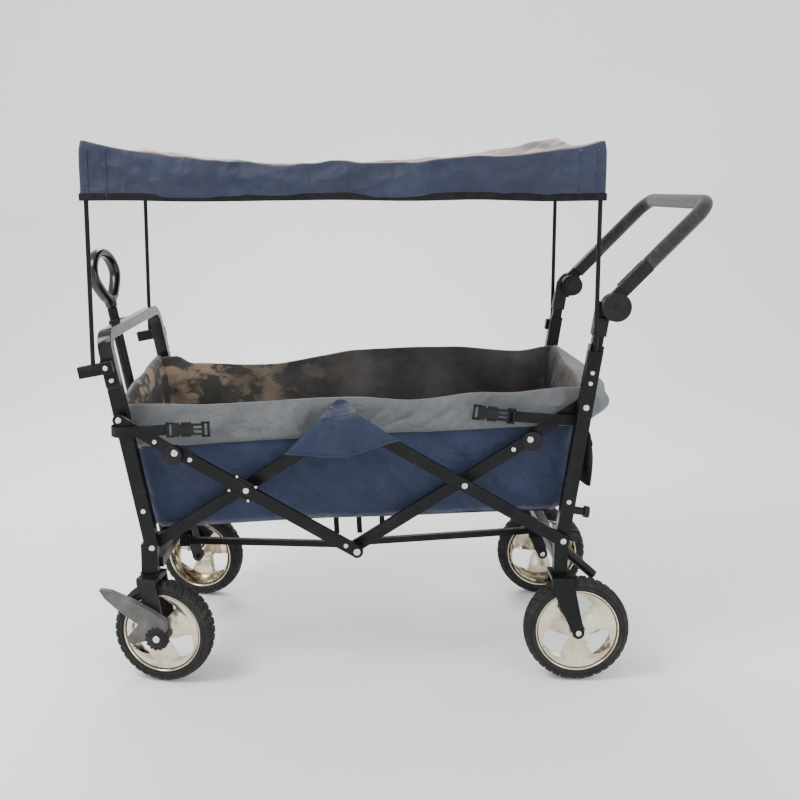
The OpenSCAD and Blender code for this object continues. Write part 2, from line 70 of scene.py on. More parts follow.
FRONT_LOW = pivot("fold")
FRONT_UP = pivot("front_link_pivot")
REAR_LOW = pivot("rear_frame_pivot")
REAR_UP = pivot("rear_link_pivot")
PIVOT_Z = 0.288
ALONG = (REAR_LOW - FRONT_LOW).normalized()
UPWARD = Vector((-ALONG.z, 0, ALONG.x))
MIDDLE = (FRONT_LOW + REAR_LOW) / 2
HALF = (REAR_LOW - FRONT_LOW).length / 2
LEG_UP = {"front": (FRONT_UP - FRONT_LOW).normalized(), "rear": (REAR_UP - REAR_LOW).normalized()}
LEG_FOOT = {"front": FRONT_LOW, "rear": REAR_LOW}
LEAN = math.acos(LEG_UP["front"].dot(UPWARD))
LEG_Y = 0.214


def link(x, y, z):
    """A place in the linkage's frame, in the row frame."""
    return MIDDLE + ALONG * x + UPWARD * (z - PIVOT_Z) + Y * y


def on_leg(end, x, y, s):
    """A place in a leg's frame: s runs up from its lower pivot and x along the wagon, across the leg."""
    up = LEG_UP[end]
    return LEG_FOOT[end] + Vector((up.z, 0, -up.x)) * x + up * s + Y * y


def fold_up(obj):
    """Gives a piece its own copy of its mesh."""
    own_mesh(obj)


# ---- camera ----


def make_camera():
    data = bpy.data.cameras.new("view")
    data.sensor_width = 36
    data.lens = 42.31
    data.shift_x = 0.0285
    data.shift_y = -0.0973
    camera = bpy.data.objects.new("view", data)
    camera.location = (-0.0185, -2.08, 1.018)
    camera.rotation_euler = (math.radians(82), 0, 0)
    bpy.context.scene.collection.objects.link(camera)
    bpy.context.scene.camera = camera


make_camera()

# ---- materials ----

THREAD = 0.0018  # pitch of the cloth's weave


class Surface:
    """A Principled material whose nodes read the object's own coordinates."""

    def __init__(self, name, rough, metal=0.0, **sockets):
        self.material = bpy.data.materials.new(name)
        self.material.use_nodes = True
        self.tree = self.material.node_tree
        self.bsdf = self.tree.nodes["Principled BSDF"]
        self.bsdf.inputs["Roughness"].default_value = rough
        self.bsdf.inputs["Metallic"].default_value = metal
        for key, value in sockets.items():
            self.bsdf.inputs[key.replace("_", " ")].default_value = value
        self.place = self.tree.nodes.new("ShaderNodeTexCoord").outputs["Object"]
        self.height = None

    def add(self, kind, **values):
        made = self.tree.nodes.new(kind)
        for key, value in values.items():
            if key[0].isupper():
                socket = made.inputs[key.replace("_", " ")]
                if isinstance(value, bpy.types.NodeSocket):
                    self.tree.links.new(value, socket)
                else:
                    socket.default_value = value
            else:
                setattr(made, key, value)
        return made

    def stretched(self, scale):
        return self.add("ShaderNodeMapping", Vector=self.place, Scale=scale).outputs["Vector"]

    def cloud(self, scale, detail=3.0, rough=0.55, stretch=(1, 1, 1)):
        made = self.add("ShaderNodeTexNoise", Vector=self.stretched(stretch),
                        Scale=scale, Detail=detail, Roughness=rough)
        return made.outputs["Fac"]

    def ramp(self, fac, *stops):
        """Colours or greys by place along fac: stops are (place, colour)."""
        made = self.add("ShaderNodeValToRGB", Fac=fac)
        ramp = made.color_ramp
        while len(ramp.elements) < len(stops):
            ramp.elements.new(0.5)
        for element, (at, colour) in zip(ramp.elements, stops):
            element.position = at
            grey = isinstance(colour, (int, float))
            element.color = (colour, colour, colour, 1) if grey else (*colour, 1)
        return made.outputs["Color"]

    def mix(self, fac, a, b, blend="MIX"):
        made = self.add("ShaderNodeMix", data_type="RGBA", blend_type=blend)
        for index, value in ((0, fac), (6, a), (7, b)):
            if isinstance(value, bpy.types.NodeSocket):
                self.tree.links.new(value, made.inputs[index])
            else:
                made.inputs[index].default_value = (*value, 1) if index else value
        return made.outputs[2]

    def math(self, operation, a, b=0.5):
        made = self.add("ShaderNodeMath", operation=operation)
        for socket, value in zip(made.inputs, (a, b)):
            if isinstance(value, bpy.types.NodeSocket):
                self.tree.links.new(value, socket)
            else:
                socket.default_value = value
        return made.outputs[0]

    def colour(self, socket):
        self.tree.links.new(socket, self.bsdf.inputs["Base Color"])

    def roughness(self, socket):
        self.tree.links.new(socket, self.bsdf.inputs["Roughness"])

    def bump(self, height, distance, strength=1.0):
        """Adds a layer of relief, distance metres high."""
        made = self.add("ShaderNodeBump", Height=height, Distance=distance, Strength=strength)
        if self.height:
            self.tree.links.new(self.height, made.inputs["Normal"])
        self.height = made.outputs["Normal"]
        self.tree.links.new(self.height, self.bsdf.inputs["Normal"])

    def weave(self, pitch):
        """Plain-weave height on a surface that faces any axis."""
        axes = self.add("ShaderNodeSeparateXYZ", Vector=self.place).outputs
        turn = 2 * math.pi / pitch
        warp = self.math("SINE", self.math("MULTIPLY", self.math("ADD", axes["X"], axes["Y"]), turn))
        weft = self.math("SINE", self.math("MULTIPLY", self.math("ADD", axes["Z"], axes["Y"]), turn))
        return self.math("MULTIPLY", warp, weft)


def plain(name, rough, tint, gloss=None, relief=(), metal=0.0, **sockets):
    """A material made of noise alone.

    tint is a cloud and its colour stops, gloss a cloud with the lowest and highest roughness, and relief a
    list of clouds, each with its depth and strength.
    """
    s = Surface(name, rough, metal, **sockets)
    s.colour(s.ramp(s.cloud(*tint[0]), *tint[1:]))
    if gloss:
        cloud, low, high = gloss
        s.roughness(s.ramp(s.cloud(*cloud), (0.3, low), (0.7, high)))
    for cloud, depth, strength in relief:
        s.bump(s.cloud(*cloud), depth, strength)
    return s.material


def foam():
    s = Surface("grip_foam", 0.85, Sheen_Weight=0.25, Sheen_Roughness=0.5)
    worn = s.math("MULTIPLY", s.cloud(22, 6, 0.7), s.cloud(140, 5, 0.7))
    s.colour(s.ramp(worn, (0.16, 0.006), (0.3, 0.018), (0.44, (0.075, 0.070, 0.068))))
    s.bump(s.cloud(420, 4, 0.7), 0.0009, 0.8)
    s.bump(s.cloud(60, 3), 0.0014, 0.5)
    return s.material


def oxford(name, dark, base, light, fade_and_highlight=None):
    """Coated polyester: plain weave, fine creases, and uneven fading; the last argument is the colour of its
    sunlit top, partly real sun fading and partly a painted highlight.
    """
    s = Surface(name, 0.62, Sheen_Weight=0.18, Sheen_Roughness=0.45, Specular_IOR_Level=0.4)
    broad, fine = s.cloud(7, 6, 0.6), s.cloud(60, 5, 0.65)
    mottled = s.math("ADD", s.math("MULTIPLY", broad, 0.6), s.math("MULTIPLY", fine, 0.4))
    colour = s.ramp(mottled, (0.24, dark), (0.5, base), (0.80, light))
    # painted highlight: upward-facing patches are mixed towards a pale colour, partly real sun fading and partly
    # painted sunlight on the top
    if fade_and_highlight:
        normal = s.tree.nodes["Texture Coordinate"].outputs["Normal"]
        facing = s.add("ShaderNodeSeparateXYZ", Vector=normal).outputs["Z"]
        patches = s.ramp(s.cloud(5, 5, 0.6), (0.42, 0.0), (0.6, 1.0))
        top = s.ramp(facing, (0.55, 0.0), (0.93, 1.0))
        fade_and_highlight_mask = s.math("MULTIPLY", s.math("MULTIPLY", top, patches), 0.85)
        colour = s.mix(fade_and_highlight_mask, colour, fade_and_highlight)
    threads = s.ramp(s.weave(THREAD), (0.2, 0.78), (0.8, 1.0))
    s.colour(s.mix(1.0, colour, threads, "MULTIPLY"))
    s.roughness(s.ramp(s.cloud(18, 5), (0.3, 0.5), (0.7, 0.74)))
    s.bump(s.weave(THREAD), 0.00018, 0.6)
    s.bump(s.cloud(55, 5, 0.6), 0.0016, 0.5)
    for cloud, reach, depth, strength in (((9, 3, 0.5, (1, 1, 0.6)), 0.06, 0.0035, 0.45),
                                          ((15, 3, 0.5, (0.5, 1, 1)), 0.04, 0.0025, 0.35)):
        crest = s.ramp(s.cloud(*cloud), (0.5 - reach, 0.0), (0.5, 1.0), (0.5 + reach, 0.0))
        s.bump(crest, depth, strength)
    return s.material


def lining():
    """Grey-brown inner cloth with small sunlit patches towards the front."""
    s = Surface("grey_lining", 0.7, Specular_IOR_Level=0.3)
    shade = s.ramp(s.cloud(6, 6, 0.6), (0.35, (0.045, 0.042, 0.039)), (0.52, (0.088, 0.081, 0.075)),
                   (0.7, (0.17, 0.157, 0.145)))
    along = s.add("ShaderNodeSeparateXYZ", Vector=s.place).outputs["X"]
    front = s.ramp(s.math("ADD", along, 0.62), (0.10, 1.0), (0.55, 0.0))
    patch = s.ramp(s.cloud(13, 4, 0.6, (1, 1, 1.8)), (0.50, 0.0), (0.57, 1.0))
    sunlit = s.ramp(s.cloud(16, 4, 0.6), (0.35, (0.33, 0.24, 0.16)), (0.65, (0.66, 0.50, 0.36)))
    colour = s.mix(s.math("MULTIPLY", s.math("MULTIPLY", patch, front), 0.8), shade, sunlit)
    threads = s.ramp(s.weave(THREAD), (0.2, 0.75), (0.8, 1.0))
    s.colour(s.mix(1.0, colour, threads, "MULTIPLY"))
    s.bump(s.weave(THREAD), 0.00018, 0.6)
    s.bump(s.cloud(30, 5, 0.6), 0.003, 0.6)
    return s.material


def webbing():
    s = Surface("webbing", 0.7, Specular_IOR_Level=0.2)
    rib = s.add("ShaderNodeTexWave", Vector=s.place, bands_direction="DIAGONAL",
                Scale=150, Distortion=0.6, Detail=2)
    s.colour(s.ramp(s.cloud(50, 4), (0.3, (0.003, 0.003, 0.003)), (0.7, (0.011, 0.011, 0.012))))
    s.bump(rib.outputs["Fac"], 0.0004, 0.8)
    s.bump(s.cloud(700, 3), 0.0003, 0.5)
    return s.material


def floor_board():
    s = Surface("board", 0.7, Sheen_Weight=0.1)
    s.colour(s.ramp(s.cloud(10, 5), (0.3, (0.016, 0.017, 0.020)), (0.7, (0.045, 0.045, 0.050))))
    s.bump(s.weave(0.002), 0.0002, 0.6)
    s.bump(s.cloud(24, 4), 0.002, 0.4)
    return s.material


NAVY = oxford("navy_fabric", (0.005, 0.010, 0.034), (0.011, 0.021, 0.062), (0.024, 0.041, 0.102))
# the canopy's pale top is partly sun fading and partly a painted highlight
CANOPY_NAVY = oxford("canopy_fabric", (0.008, 0.012, 0.030), (0.016, 0.024, 0.055), (0.038, 0.050, 0.098),
                     fade_and_highlight=(0.70, 0.50, 0.44))
GREY = oxford("grey_fabric", (0.085, 0.092, 0.097), (0.128, 0.136, 0.143), (0.185, 0.192, 0.198))
LINING = lining()
BARREL = plain(  # the rim's deep inner wall, where the plating shows dark, bronze reflections
    "rim_barrel", 0.2,
    ((34, 5, 0.6), (0.36, (0.020, 0.014, 0.009)), (0.5, (0.20, 0.135, 0.075)), (0.62, (0.80, 0.74, 0.60))),
    ((28, 5, 0.6), 0.12, 0.36), [((120, 3), 0.0005, 0.35)], metal=0.9)
HOOP = plain(  # polished black of the front hoop
    "hoop_gloss", 0.2, ((20, 4), (0.3, 0.004), (0.75, (0.020, 0.017, 0.014))),
    ((36, 4), 0.14, 0.30), [((120, 3), 0.0003, 0.3)], Specular_IOR_Level=0.3)
MATERIALS = {
    "black_frame": plain(
        "black_frame", 0.34,
        ((26, 5), (0.3, 0.003), (0.62, (0.006, 0.006, 0.007)), (0.82, (0.022, 0.021, 0.020))),
        ((60, 4), 0.24, 0.46), [((900, 2), 0.00025, 0.5), ((120, 3), 0.0004, 0.35)], Specular_IOR_Level=0.2),
    "rivet_steel": plain(
        "rivet_steel", 0.28, ((300, 3), (0.3, 0.5), (0.7, (0.82, 0.82, 0.83))),
        ((500, 3), 0.18, 0.4), [((1500, 2), 0.0001, 0.5)], metal=0.95),
    "black_plastic": plain(
        "black_plastic", 0.42, ((40, 4), (0.3, 0.004), (0.75, (0.012, 0.012, 0.013))),
        ((90, 4), 0.34, 0.56), [((1400, 2), 0.0002, 0.6)], Specular_IOR_Level=0.25),
    "grip_gloss": plain(
        "grip_gloss", 0.16, ((30, 4), (0.3, (0.004, 0.0035, 0.003)), (0.8, (0.016, 0.012, 0.010))),
        ((80, 4), 0.1, 0.3), [((160, 2), 0.0003, 0.3)], Specular_IOR_Level=0.5),
    "grip_foam": foam(), "navy_fabric": NAVY, "grey_fabric": GREY, "webbing": webbing(),
    "pedal_grey": plain(
        "pedal_grey", 0.5,
        ((22, 5, 0.6), (0.3, (0.048, 0.046, 0.045)), (0.55, (0.080, 0.077, 0.075)),
         (0.75, (0.135, 0.128, 0.120))),
        ((40, 4), 0.4, 0.65), [((900, 3), 0.0003, 0.6)], Specular_IOR_Level=0.5),
    "rim_chrome": plain(
        "rim_chrome", 0.15,
        ((14, 5, 0.6), (0.3, (0.40, 0.34, 0.24)), (0.5, (0.66, 0.60, 0.47)), (0.7, (0.86, 0.81, 0.69))),
        ((28, 5, 0.6), 0.10, 0.30), [((200, 3), 0.0003, 0.25)], metal=0.85),
    "tyre_rubber": plain(
        "tyre_rubber", 0.62,
        ((18, 5, 0.65), (0.3, 0.007), (0.6, (0.014, 0.0135, 0.013)), (0.82, (0.045, 0.042, 0.037))),
        ((70, 5), 0.58, 0.88), [((500, 4, 0.7), 0.0005, 0.7)], Specular_IOR_Level=0.35),
    "board": floor_board(),
}

# ---- mesh tools ----


def mesh_object(name, points, faces, *materials):
    mesh = bpy.data.meshes.new(name)
    mesh.from_pydata([tuple(p) for p in points], [], faces)
    mesh.validate()
    for m in materials:
        mesh.materials.append(m)
    mesh.shade_smooth()
    obj = bpy.data.objects.new(name, mesh)
    bpy.context.scene.collection.objects.link(obj)
    return obj


def grid_faces(rows, columns, loop_rows=False, loop_columns=False):
    """Quads between points that are stored row by row."""
    faces = []
    for i in range(rows if loop_rows else rows - 1):
        for j in range(columns if loop_columns else columns - 1):
            k, m = (i + 1) % rows, (j + 1) % columns
            faces.append((i * columns + j, i * columns + m, k * columns + m, k * columns + j))
    return faces


def grid(name, rows, columns, place, *materials):
    """A sheet: place(a, b) gives its points for a down the rows and b along the columns, both 0 to 1."""
    points = [place(i / (rows - 1), j / (columns - 1)) for i in range(rows) for j in range(columns)]
    return mesh_object(name, points, grid_faces(rows, columns), *materials)


def loft(name, rings, *materials, loop=False):
    """A skin through rings of equal length, closed at both ends unless it loops."""
    count = len(rings[0])
    faces = grid_faces(len(rings), count, loop, True)
    if not loop:
        last = (len(rings) - 1) * count
        faces += [tuple(range(count - 1, -1, -1)), tuple(range(last, last + count))]
    return mesh_object(name, [p for ring in rings for p in ring], faces, *materials)


def sweep(name, path, profile, side, material, loop=False, scale=None):
    """A profile of (a, b) drawn along a path: a along the side vector, b square to it and to the path."""
    rings = []
    n = len(path)
    for i, p in enumerate(path):
        ahead = path[(i + 1) % n] if loop or i < n - 1 else p
        behind = path[i - 1] if loop or i else p
        along = (ahead - behind).normalized()
        across = side(i) if callable(side) else side
        across = (across - along * across.dot(along)).normalized()
        out = along.cross(across)
        size = scale(i / (n - 1)) if scale else 1.0
        rings.append([p + across * (a * size) + out * (b * size) for a, b in profile])
    return loft(name, rings, material, loop=loop)


def oval(ra, rb, n=16, power=1.0):
    """A closed profile: power under 1 squares an ellipse off."""
    made = []
    for k in range(n):
        c, s = math.cos(2 * math.pi * k / n), math.sin(2 * math.pi * k / n)
        made.append((ra * math.copysign(abs(c) ** power, c), rb * math.copysign(abs(s) ** power, s)))
    return made


def flat(width, thick):
    """A webbing or binding profile with soft corners."""
    return oval(width / 2, thick / 2, 16, 0.45)


def revolve(name, profile, frame_of, material, count=96):
    """Turns a closed profile of (radius, height) about the Z of frame_of."""
    rings = []
    for k in range(count):
        c, s = math.cos(2 * math.pi * k / count), math.sin(2 * math.pi * k / count)
        rings.append([frame_of @ Vector((r * c, r * s, h)) for r, h in profile])
    return loft(name, rings, material, loop=True)


def spline(points, per=8):
    """A smooth curve through points."""
    made = []
    for i in range(len(points) - 1):
        p0, p1 = points[max(i - 1, 0)], points[i]
        p2, p3 = points[i + 1], points[min(i + 2, len(points) - 1)]
        for k in range(per):
            t = k / per
            made.append(0.5 * ((2 * p1) + (p2 - p0) * t + (2 * p0 - 5 * p1 + 4 * p2 - p3) * t * t
                               + (3 * p1 - p0 - 3 * p2 + p3) * t ** 3))
    return made + [points[-1]]


def add_modifier(obj, kind, **values):
    made = obj.modifiers.new(kind.lower(), kind)
    for key, value in values.items():
        setattr(made, key, value)
    return obj


def thicken(obj, thick, offset=0.0, inner=0):
    return add_modifier(obj, "SOLIDIFY", thickness=thick, offset=offset, material_offset=inner)


def smooth(obj, levels=1):
    return add_modifier(obj, "SUBSURF", levels=levels, render_levels=levels)


def round_edges(obj, width):
    add_modifier(obj, "BEVEL", width=width, segments=2, limit_method="ANGLE", angle_limit=math.radians(35))
    return add_modifier(obj, "WEIGHTED_NORMAL", keep_sharp=True)


def join(name, objects):
    """One piece out of several meshes, with their materials."""
    with bpy.context.temp_override(active_object=objects[0], selected_editable_objects=objects):
        bpy.ops.object.join()
    objects[0].name = name
    return objects[0]


def piece(obj, body, slot, *nodes):
    """Rides obj on a body and hides the CAD nodes that it stands for; slot is not used."""
    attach(obj, body)
    if nodes:
        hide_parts(*nodes)
    return obj


def wrinkle(p, sizes, depth, seed):
    """Smooth folds: sizes are their lengths along X, Y and Z."""
    place = Vector((p.x / sizes[0] + seed, p.y / sizes[1] - seed, p.z / sizes[2] + 2 * seed))
    return depth * noise.noise(place)


def crease(p, sizes, depth, seed):
    """Folds with a sharp crest."""
    n = noise.noise(Vector((p.x / sizes[0] + seed, p.y / sizes[1] + 3 * seed, p.z / sizes[2] - seed)))
    return depth * (1 - min(1.0, 3.2 * abs(n)))


def ease(a, b, t):
    t = min(1.0, max(0.0, (t - a) / (b - a)))
    return t * t * (3 - 2 * t)


# ---- carried-over CAD nodes ----


def dress_cad_nodes():
    bevels = {"rivet_steel": 0.0006, "grip_foam": 0.002, "black_plastic": 0.0022, "pedal_grey": 0.003}
    for name, obj in NODES.items():
        slot = SLOT_OF[name]
        obj.data.materials.clear()
        obj.data.materials.append(HOOP if name == "front_hoop" else MATERIALS[slot])
        add_modifier(obj, "WELD", merge_threshold=0.00001)
        round_edges(obj, bevels.get(slot, 0.0016))


dress_cad_nodes()

# ---- canopy ----

CANOPY_LOW, CANOPY_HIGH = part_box("canopy_cloth")


def canopy_top_z(s, t):
    """Height of the roof: s runs front to rear and t near to far."""
    corners = (0.010, 0.008, 0.018, 0.042)
    near = corners[0] * (1 - s) + corners[1] * s
    far = corners[2] * (1 - s) + corners[3] * s ** 3
    lift = near * (1 - t) + far * t
    across_edge = 0.022 * (4 * t * (1 - t)) ** 0.8
    bell = max(0.0, 4 * s * (1 - s))
    long_edge = (0.058 - 0.022 * s) * bell ** 0.75 * (1 - 0.18 * t)
    belly = 0.016 * bell * 4 * t * (1 - t)
    ripples = 0.004 * noise.noise(Vector((s * 9, t * 2.2, 4.1)))
    ripples += 0.004 * noise.noise(Vector((s * 27, t * 9, 1.7)))
    ridges = 0.009 * (0.35 - abs(noise.noise(Vector((s * 13 + t, t * 5, 8.2)))))
    ridges += 0.005 * (0.3 - abs(noise.noise(Vector((s * 31, t * 11, 3)))))
    return CANOPY_HIGH.z + lift - long_edge - across_edge - belly + (ripples + ridges) * (0.25 + bell)


def canopy_tension(x, y):
    """Folds that run out of each corner across the roof."""
    made = 0.0
    for cx in (CANOPY_LOW.x, CANOPY_HIGH.x):
        for cy in (CANOPY_LOW.y, CANOPY_HIGH.y):
            dx, dy = abs(x - cx), abs(y - cy)
            r = math.hypot(dx, dy)
            turn = math.atan2(dy, dx + 1e-6)
            made += 0.006 * math.exp(-r / 0.16) * min(1.0, r / 0.05) * math.sin(11 * turn + 40 * cx)
    return made


def canopy_point(s, t, drop):
    """A point of the canopy: on the roof at drop 0, or down the valance, drop 1 at the hem."""
    x = CANOPY_LOW.x + (CANOPY_HIGH.x - CANOPY_LOW.x) * s
    y = CANOPY_LOW.y + (CANOPY_HIGH.y - CANOPY_LOW.y) * t
    top = canopy_top_z(s, t) + canopy_tension(x, y)
    hem = CANOPY_LOW.z + 0.003 * noise.noise(Vector((x * 6, y * 6, 0))) + 0.004
    if drop <= 0:
        return Vector((x, y, top))
    z = top + (hem - top) * drop
    out = Vector((s - 0.5, 0, 0)) * 2 if s in (0, 1) else Vector((0, 0, 0))
    out += Vector((0, t - 0.5, 0)) * 2 if t in (0, 1) else Vector((0, 0, 0))
    slack = math.sin(math.pi * min(1, drop)) ** 0.7
    run = s if t in (0, 1) else t + 3
    folds = noise.noise(Vector((run * 7, drop * 2.4, 7 + t * 3 + s))) * 0.008
    for lean, size, depth in ((1.3, 11, 0.016), (-1.5, 9, 0.015), (0.4, 24, 0.006)):
        ridge = noise.noise(Vector((run * size + drop * lean, drop * 1.3 + lean, 2 + t)))
        folds += (0.28 - abs(ridge)) * depth * (1.25 - drop)
    corner = min(1.0, min(s, 1 - s) * 9) if t in (0, 1) else min(1.0, min(t, 1 - t) * 5)
    puff = (0.003 + folds) * slack * corner
    return Vector((x, y, z)) + out * puff


def make_canopy():
    along, across, down = 128, 62, 15
    points, index, faces = [], {}, []

    def at(i, j, k):
        key = (i, j, k)
        if key not in index:
            index[key] = len(points)
            points.append(canopy_point(i / along, j / across, k / down))
        return index[key]

    for i in range(along):
        for j in range(across):
            faces.append((at(i, j, 0), at(i + 1, j, 0), at(i + 1, j + 1, 0), at(i, j + 1, 0)))
    for k in range(down):
        for i in range(along):
            faces.append((at(i, 0, k), at(i, 0, k + 1), at(i + 1, 0, k + 1), at(i + 1, 0, k)))
            faces.append((at(i + 1, across, k), at(i + 1, across, k + 1),
                          at(i, across, k + 1), at(i, across, k)))
        for j in range(across):
            faces.append((at(0, j + 1, k), at(0, j + 1, k + 1), at(0, j, k + 1), at(0, j, k)))
            faces.append((at(along, j, k), at(along, j, k + 1),
                          at(along, j + 1, k + 1), at(along, j + 1, k)))
    cloth = mesh_object("canopy", points, faces, CANOPY_NAVY)
    edge = [i for (a, b, k), i in index.items()
            if k <= 2 and (a < 3 or a > along - 3 or b < 3 or b > across - 3)]
    relax(cloth, edge, 4)
    hem = [points[at(i, 0, down)] for i in range(along)]
    hem += [points[at(along, j, down)] for j in range(across)]
    hem += [points[at(along - i, across, down)] for i in range(along)]
    hem += [points[at(0, across - j, down)] for j in range(across)]
    thicken(cloth, 0.0012)
    smooth(cloth)
    piece(cloth, "front_frame", "navy_fabric", "canopy_cloth")
    raised = [p + Z * 0.005 for p in hem]
    binding = sweep("canopy_hem", raised, flat(0.015, 0.0052), Z, MATERIALS["webbing"], loop=True)
    piece(binding, "front_frame", "webbing")
    seams = canopy_seams(cloth)
    for obj in (cloth, binding, *seams):
        fold_up(obj)


def relax(obj, chosen, rounds):
    """Softens an edge by moving the chosen points towards their neighbours."""
    mesh = obj.data
    near = {i: [] for i in chosen}
    for e in mesh.edges:
        a, b = e.vertices
        if a in near:
            near[a].append(b)
        if b in near:
            near[b].append(a)
    for _ in range(rounds):
        moved = {i: sum((mesh.vertices[j].co for j in js), Vector()) / len(js) for i, js in near.items()}
        for i, p in moved.items():
            mesh.vertices[i].co = mesh.vertices[i].co.lerp(p, 0.6)
    mesh.update()


def pressed(obj, path, lift):
    """The path laid on obj's surface, lift metres proud of it."""
    mesh = obj.data
    tree = BVHTree.FromPolygons([v.co for v in mesh.vertices], [p.vertices for p in mesh.polygons])
    made, normals = [], []
    for p in path:
        at, normal, _, _ = tree.find_nearest(p)
        made.append(at + normal * lift)
        normals.append(normal)
    return made, normals


def seam(name, obj, path, width, material, thick=0.0016, lift=0.0012):
    """A folded seam or tape that lies on obj."""
    laid, normals = pressed(obj, path, lift)

    def across(i):
        along = laid[min(i + 1, len(laid) - 1)] - laid[max(i - 1, 0)]
        return along.cross(normals[i])

    return sweep(name, laid, flat(width, thick), across, material)


def canopy_seams(cloth):
    """Corner pockets with their stitching, and a seam from each corner across the roof."""
    tapes = []
    for s in (0, 1):
        for t in (0, 1):
            sx, sy = (1 if s == 0 else -1), (1 if t == 0 else -1)
            corner = Vector(((CANOPY_LOW, CANOPY_HIGH)[s].x, (CANOPY_LOW, CANOPY_HIGH)[t].y, 0))
            for inset in (0.016, 0.052):
                side_x = corner + Vector((sx * inset, -sy * 0.01, 0))
                side_y = corner + Vector((-sx * 0.01, sy * inset, 0))
                for start in (side_x, side_y):
                    tapes.append([start + Z * (CANOPY_LOW.z + 0.008 + 0.092 * k / 12) for k in range(13)])
            runs = [0.01 + 0.19 * k / 24 for k in range(25)]
            tapes.append([corner + Vector((sx * run, sy * run, 1.09)) for run in runs])
    made = [seam(f"tape_{i}", cloth, path, 0.003, CANOPY_NAVY) for i, path in enumerate(tapes)]
    obj = join("canopy_seams", made)
    return [piece(obj, "front_frame", "navy_fabric")]


make_canopy()

# ---- basket ----

FLOOR_Z = 0.338
SEAM_Z = 0.512
RIM_Z = 0.600
WALL_Y = 0.178
CORNER = 0.030


def end_x(z):
    """Half the basket's length at a height: its ends lean with the legs."""
    return HALF + (z - PIVOT_Z) * math.tan(LEAN) + 0.009


def side_plan(z, b):
    """Place and outward normal on a side wall's rounded plan: b goes 0 to 1 from front to rear."""
    half = end_x(z)
    straight = 2 * (half - CORNER)
    arc = CORNER * math.pi / 2
    tail = 0.016
    d = b * (straight + 2 * arc + 2 * tail)
    inner = WALL_Y - CORNER
    if d < tail:
        return Vector((-half, inner - tail + d)), Vector((-1, 0))
    if d < tail + arc:
        turn = (d - tail) / CORNER
        n = Vector((-math.cos(turn), math.sin(turn)))
        return Vector((-half + CORNER, inner)) + n * CORNER, n
    if d < tail + arc + straight:
        return Vector((-half + CORNER + d - tail - arc, WALL_Y)), Vector((0, 1))
    if d < tail + 2 * arc + straight:
        turn = (d - tail - arc - straight) / CORNER
        n = Vector((math.sin(turn), math.cos(turn)))
        return Vector((half - CORNER, inner)) + n * CORNER, n
    return Vector((half, inner - (d - tail - 2 * arc - straight))), Vector((1, 0))


def between(x, *stops):
    """A smooth line through (place, value) stops."""
    if x <= stops[0][0]:
        return stops[0][1]
    for (a, low), (b, high) in zip(stops, stops[1:]):
        if x < b:
            return low + (high - low) * ease(a, b, x)
    return stops[-1][1]


def rim_wave(x, side):
    """How far the slack rim rises or dips along a side."""
    ripple = 0.004 * noise.noise(Vector((x * 9, side, 3.3)))
    if side < 0:
        return ripple + between(x, (-0.46, -0.024), (-0.30, -0.030), (-0.03, -0.021), (0.12, -0.029),
                                (0.28, -0.018), (0.46, -0.012))
    return ripple + between(x, (-0.44, 0.012), (-0.40, -0.008), (-0.20, -0.010), (0.0, 0.019),
                            (0.22, 0.021), (0.40, 0.010), (0.46, 0.016))


def seam_z(x, side):
    """Height of the seam between the navy wall and the collar."""
    if side > 0:
        return SEAM_Z
    return SEAM_Z + between(x, (-0.40, -0.016), (-0.10, -0.006), (0.10, 0.002), (0.42, 0.008))


def bottom_z(x, side):
    """Height of the wall's lower edge: the floor sags towards the front."""
    return FLOOR_Z - 0.014 + between(x, (-0.43, -0.016), (0.0, -0.003), (0.43, 0.005))


def side_point(side, b, z, out, folds):
    p, n = side_plan(z, b)
    p = p + n * (out + folds(Vector((p.x, side, z))))
    return link(p.x, side * p.y, z)


def lower_folds(side):
    def folds(q):
        frame_edge = ease(0.0, 0.05, SEAM_Z - q.z) * ease(0.0, 0.03, q.z - FLOOR_Z + 0.014)
        body = wrinkle(q, (0.16, 9, 0.10), 0.007, 5 + side) + wrinkle(q, (0.05, 9, 0.06), 0.0030, 2 + side)
        pulled = Vector((q.x + 0.9 * q.z, q.y, q.z - 0.5 * q.x))
        body += 0.004 - crease(pulled, (0.09, 9, 0.30), 0.0065, 8 + side)
        return -0.003 + frame_edge * body
    return folds


def make_side(name, side):
    """The navy lower wall, with the dark lining as its inner face."""
    folds = lower_folds(side)

    def place(a, b):
        along = (2 * b - 1) * HALF
        low = bottom_z(along, side)
        z = low + a * (seam_z(along, side) + 0.004 - low)
        tuck = 0.016 * (1 - ease(0.0, 0.12, a)) ** 2
        return side_point(side, b, z, -tuck, folds)

    wall = grid(f"wall_{name}", 26, 170, place, NAVY, LINING)
    orient(wall, side)
    thicken(wall, 0.0018, -1, 1)
    smooth(wall)
    return wall


def orient(obj, side):
    """Turns faces so that the normal in the middle points to the wagon's outside."""
    total = sum(p.normal.y for p in obj.data.polygons)
    if total * side < 0:
        obj.data.flip_normals()


COLLAR_SECTION = spline([Vector((out, up, 0)) for out, up in (  # from the seam, over the rim and down inside
    (0.000, -0.092), (0.006, -0.084), (0.010, -0.066), (0.012, -0.046), (0.010, -0.026), (0.007, -0.010),
    (0.004, 0.000), (-0.001, 0.006), (-0.007, 0.006), (-0.011, 0.000), (-0.013, -0.012), (-0.014, -0.032),
    (-0.0135, -0.060), (-0.0120, -0.080), (-0.0100, -0.100),
)], 3)
RIM_ROW = max(range(len(COLLAR_SECTION)), key=lambda k: COLLAR_SECTION[k].y)


def collar_row(a):
    """The row of the collar's section at share a."""
    return min(len(COLLAR_SECTION) - 1, round(a * (len(COLLAR_SECTION) - 1)))


